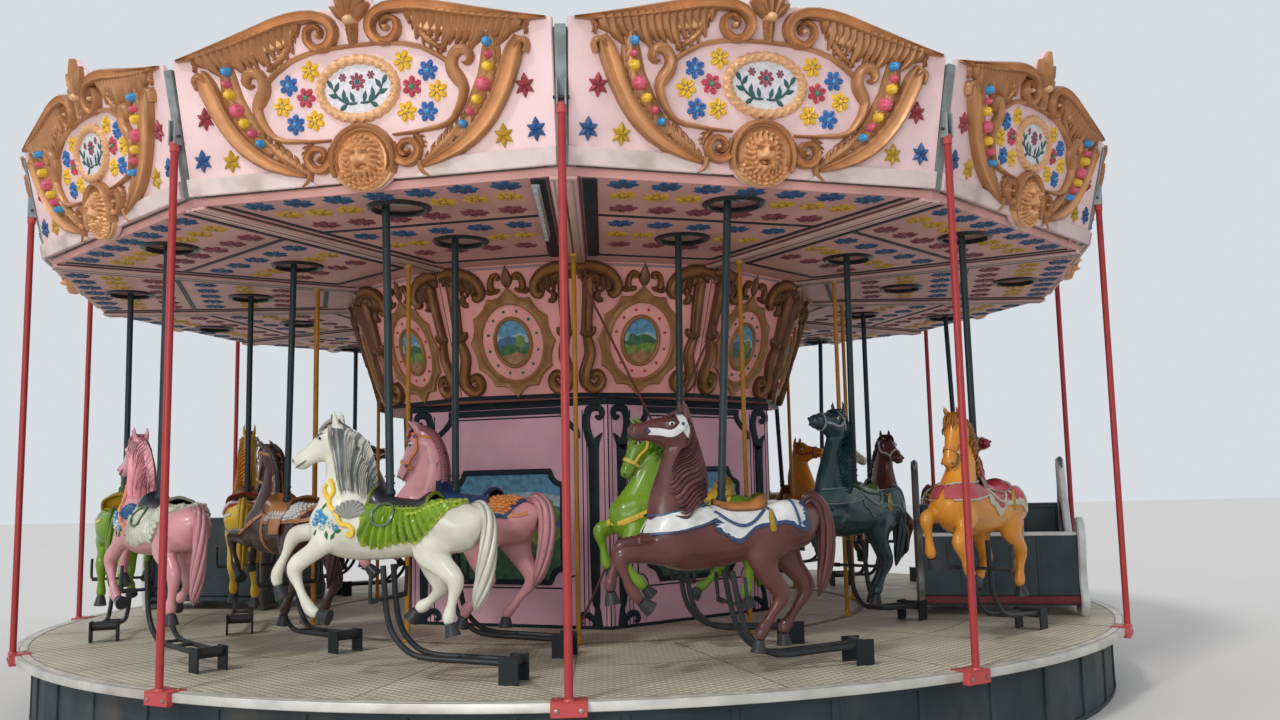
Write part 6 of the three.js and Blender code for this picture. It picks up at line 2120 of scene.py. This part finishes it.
CHARIOT_SIDE = [(-0.52, 0.0), (-0.4, -0.0), (-0.28, 0.005), (-0.24, 0.065), (0.0, 0.078), (0.25, 0.068),
                (0.32, 0.005), (0.44, 0.0), (0.56, 0.0), (0.615, 0.12), (0.575, 0.23), (0.56, 0.34),
                (0.59, 0.48), (0.6, 0.61), (0.575, 0.71), (0.52, 0.755), (0.455, 0.745), (0.415, 0.69),
                (0.405, 0.6), (0.385, 0.52), (0.32, 0.46), (0.24, 0.44), (0.12, 0.46), (0.0, 0.52),
                (-0.09, 0.62), (-0.155, 0.77), (-0.205, 0.9), (-0.245, 1.02), (-0.285, 1.15),
                (-0.335, 1.225), (-0.395, 1.235), (-0.432, 1.19), (-0.425, 1.08), (-0.43, 0.97),
                (-0.475, 0.82), (-0.52, 0.68), (-0.548, 0.5), (-0.56, 0.3), (-0.548, 0.13)]


def chariot_body():
    silver = finish("chariot_silver", (0.56, 0.58, 0.59), rough=0.36, metal=0.2, mottle=0.15, scale=8,
                    dirt_and_shade=0.5, grime_and_shade=(0.1, 0.09, 0.08), ridge_tone=0.3)
    dark = finish("chariot_dark", (0.016, 0.036, 0.048), rough=0.35, mottle=0.25, scale=5, dirt_and_shade=0.35,
                  grime_and_shade=(0.09, 0.08, 0.07), coat=0.2)
    red = finish("chariot_red", (0.16, 0.02, 0.026), rough=0.4, mottle=0.2, scale=8, dirt_and_shade=0.4)
    shape = Shape()
    outline = smooth(CHARIOT_SIDE + CHARIOT_SIDE[:1], 3)[:-1]
    out = outline_right(outline)
    core = outline - out * 0.012
    for side in (1, -1):
        rings = [[(s, side * y, t + 0.0003) for s, t in core] for y in (0.59, 0.63)]
        shape.add(*skin(rings), dark)
        rim = []
        for (s, t), (a, b) in zip(outline, out):
            rim.append([(s - a * d, side * y, max(0.0005, t - b * d + 0.0003))
                        for d, y in ((0.0, 0.592), (0.0, 0.628), (0.01, 0.64), (0.04, 0.64), (0.048, 0.632),
                                     (0.048, 0.588), (0.04, 0.58), (0.01, 0.58))])
        shape.add(*skin(rim, closed=True), silver)
        for rows in ([(-0.4, 0.2, 0.014), (-0.2, 0.17, 0.02), (0.05, 0.18, 0.02), (0.3, 0.16, 0.018),
                      (0.45, 0.22, 0.016), (0.46, 0.33, 0.014), (0.38, 0.36, 0.01)],
                     [(-0.42, 0.3, 0.012), (-0.4, 0.5, 0.018), (-0.34, 0.7, 0.018), (-0.3, 0.88, 0.014),
                      (-0.33, 1.0, 0.008)]):
            line = [(s, side * 0.631, t, half, 0.01) for s, t, half in rows]
            shape.add(*loft(line, 8, steps=5), silver)
        neck = [(-0.395, side * 0.61, 1.13, 0.03, 0.024), (-0.372, side * 0.61, 1.18, 0.03, 0.024),
                (-0.345, side * 0.61, 1.215, 0.034, 0.026), (-0.3, side * 0.61, 1.205, 0.026, 0.02),
                (-0.255, side * 0.61, 1.17, 0.012, 0.01), (-0.235, side * 0.61, 1.15, 0.004, 0.004)]
        shape.add(*loft(neck, 10, steps=4), silver)
    for low, high, paint in (((-0.5, -0.585, 0.08), (0.54, 0.585, 0.12), dark),
                             ((0.502, -0.585, 0.15), (0.543, 0.585, 0.64), dark),
                             ((0.498, -0.585, 0.09), (0.547, 0.585, 0.15), red),
                             ((0.495, -0.585, 0.615), (0.55, 0.585, 0.645), silver)):
        shape.add(*block(low, high, 0.006), paint)
    for y in (-0.29, 0.29):
        shape.add(*block((0.541, y - 0.012, 0.152), (0.549, y + 0.012, 0.614), 0.003), dark)
    return shape.mesh("chariot_body", crease=30)


def chariot_seat():
    dark = finish("bench_dark", (0.018, 0.034, 0.044), rough=0.38, mottle=0.25, scale=6, dirt_and_shade=0.4,
                  grime_and_shade=(0.09, 0.08, 0.07), coat=0.2)
    edge = finish("bench_edge", (0.1, 0.11, 0.12), rough=0.4, dirt_and_shade=0.4)
    shape = Shape()
    half = 0.579
    for low, high, bevel, paint in (((-0.44, -half, 0.37), (-0.004, half, 0.43), 0.014, dark),
                                    ((-0.06, -half, 0.121), (-0.006, half, 0.372), 0.004, dark),
                                    ((-0.47, -half, 0.121), (-0.42, half, 0.85), 0.01, dark),
                                    ((-0.473, -half, 0.835), (-0.415, half, 0.853), 0.006, edge),
                                    ((-0.003, -half, 0.395), (0.001, half, 0.42), 0.001, edge)):
        shape.add(*block(low, high, bevel), paint)
    for k in range(4):
        y = -0.435 + 0.29 * k
        shape.add(*block((-0.424, y - 0.125, 0.46), (-0.412, y + 0.125, 0.81), 0.005), dark)
        shape.add(*block((-0.4, y - 0.125, 0.428), (-0.03, y + 0.125, 0.437), 0.004), dark)
    return shape.mesh("chariot_seat", crease=30)


def chariots():
    body, seat = chariot_body(), chariot_seat()
    for sector in (2, 8):
        place = deck_place(sector, CHARIOT_MIDDLE)
        shell = piece(f"chariot_{sector:02d}_shell", body, "platform", place)
        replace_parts(shell, f"chariot_{sector:02d}_body")
        bench = piece(f"chariot_{sector:02d}_bench", seat, "platform", place)
        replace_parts(bench, f"chariot_{sector:02d}_seat")


# Camera, floor and light

def camera_pose(position, yaw, pitch, roll):
    """Camera axes from its heading east of +Y, its tilt up and its roll."""
    ahead = Vector((math.sin(yaw) * math.cos(pitch), math.cos(yaw) * math.cos(pitch), math.sin(pitch)))
    right = Vector((math.cos(yaw), -math.sin(yaw), 0))
    above = right.cross(ahead)
    x = right * math.cos(roll) + above * math.sin(roll)
    y = above * math.cos(roll) - right * math.sin(roll)
    return axes(x, y, -ahead, position)


def studio():
    scene = bpy.context.scene
    lens = bpy.data.cameras.new("camera")
    lens.lens = CAMERA_LENS
    lens.sensor_width = SENSOR_WIDTH
    lens.clip_end = 200.0
    camera = linked("camera", lens)
    camera.matrix_world = camera_pose(CAMERA_PLACE, *np.radians((CAMERA_YAW, CAMERA_PITCH, CAMERA_ROLL)))
    scene.camera = camera
    ground = bpy.data.meshes.new("ground")
    reach = 60.0
    corners = [(-reach, -reach, 0), (reach, -reach, 0), (reach, reach, 0), (-reach, reach, 0)]
    ground.from_pydata(corners, [], [(0, 1, 2, 3)])
    ground.materials.append(finish("ground", (0.66, 0.64, 0.61), rough=0.85, mottle=0.02, scale=0.3,
                                   dirt_and_shade=0.0, bump=0.0))
    linked("ground", ground)
    world = bpy.data.worlds.new("studio")
    world.use_nodes = True
    sky = world.node_tree.nodes["Background"].inputs
    sky["Color"].default_value = (0.86, 0.9, 0.95, 1)
    sky["Strength"].default_value = 0.8
    scene.world = world
    scene.view_settings.view_transform = "Standard"
    for name, kind, place, aim, power, size in (
            ("sun", "SUN", (-7, -9, 12), (0, 0, 1), 1.15, math.radians(8)),
            ("front", "AREA", (-3.5, -13, 3.2), (0, -3, 1.8), 300.0, 6.0)):
        data = bpy.data.lights.new(name, kind)
        data.energy = power
        if kind == "SUN":
            data.angle = size
        else:
            data.shape = "RECTANGLE"
            data.size = size
            data.size_y = 0.4 * size
        lamp = linked(name, data)
        lamp.location = place
        lamp.rotation_euler = (Vector(aim) - Vector(place)).to_track_quat("-Z", "Y").to_euler()


deck()
rim_and_posts()
inner_poles()
stay_rods()
skirt()
ceiling()
crown()
drum()
roof()
rounding_boards()
horses()
chariots()
studio()
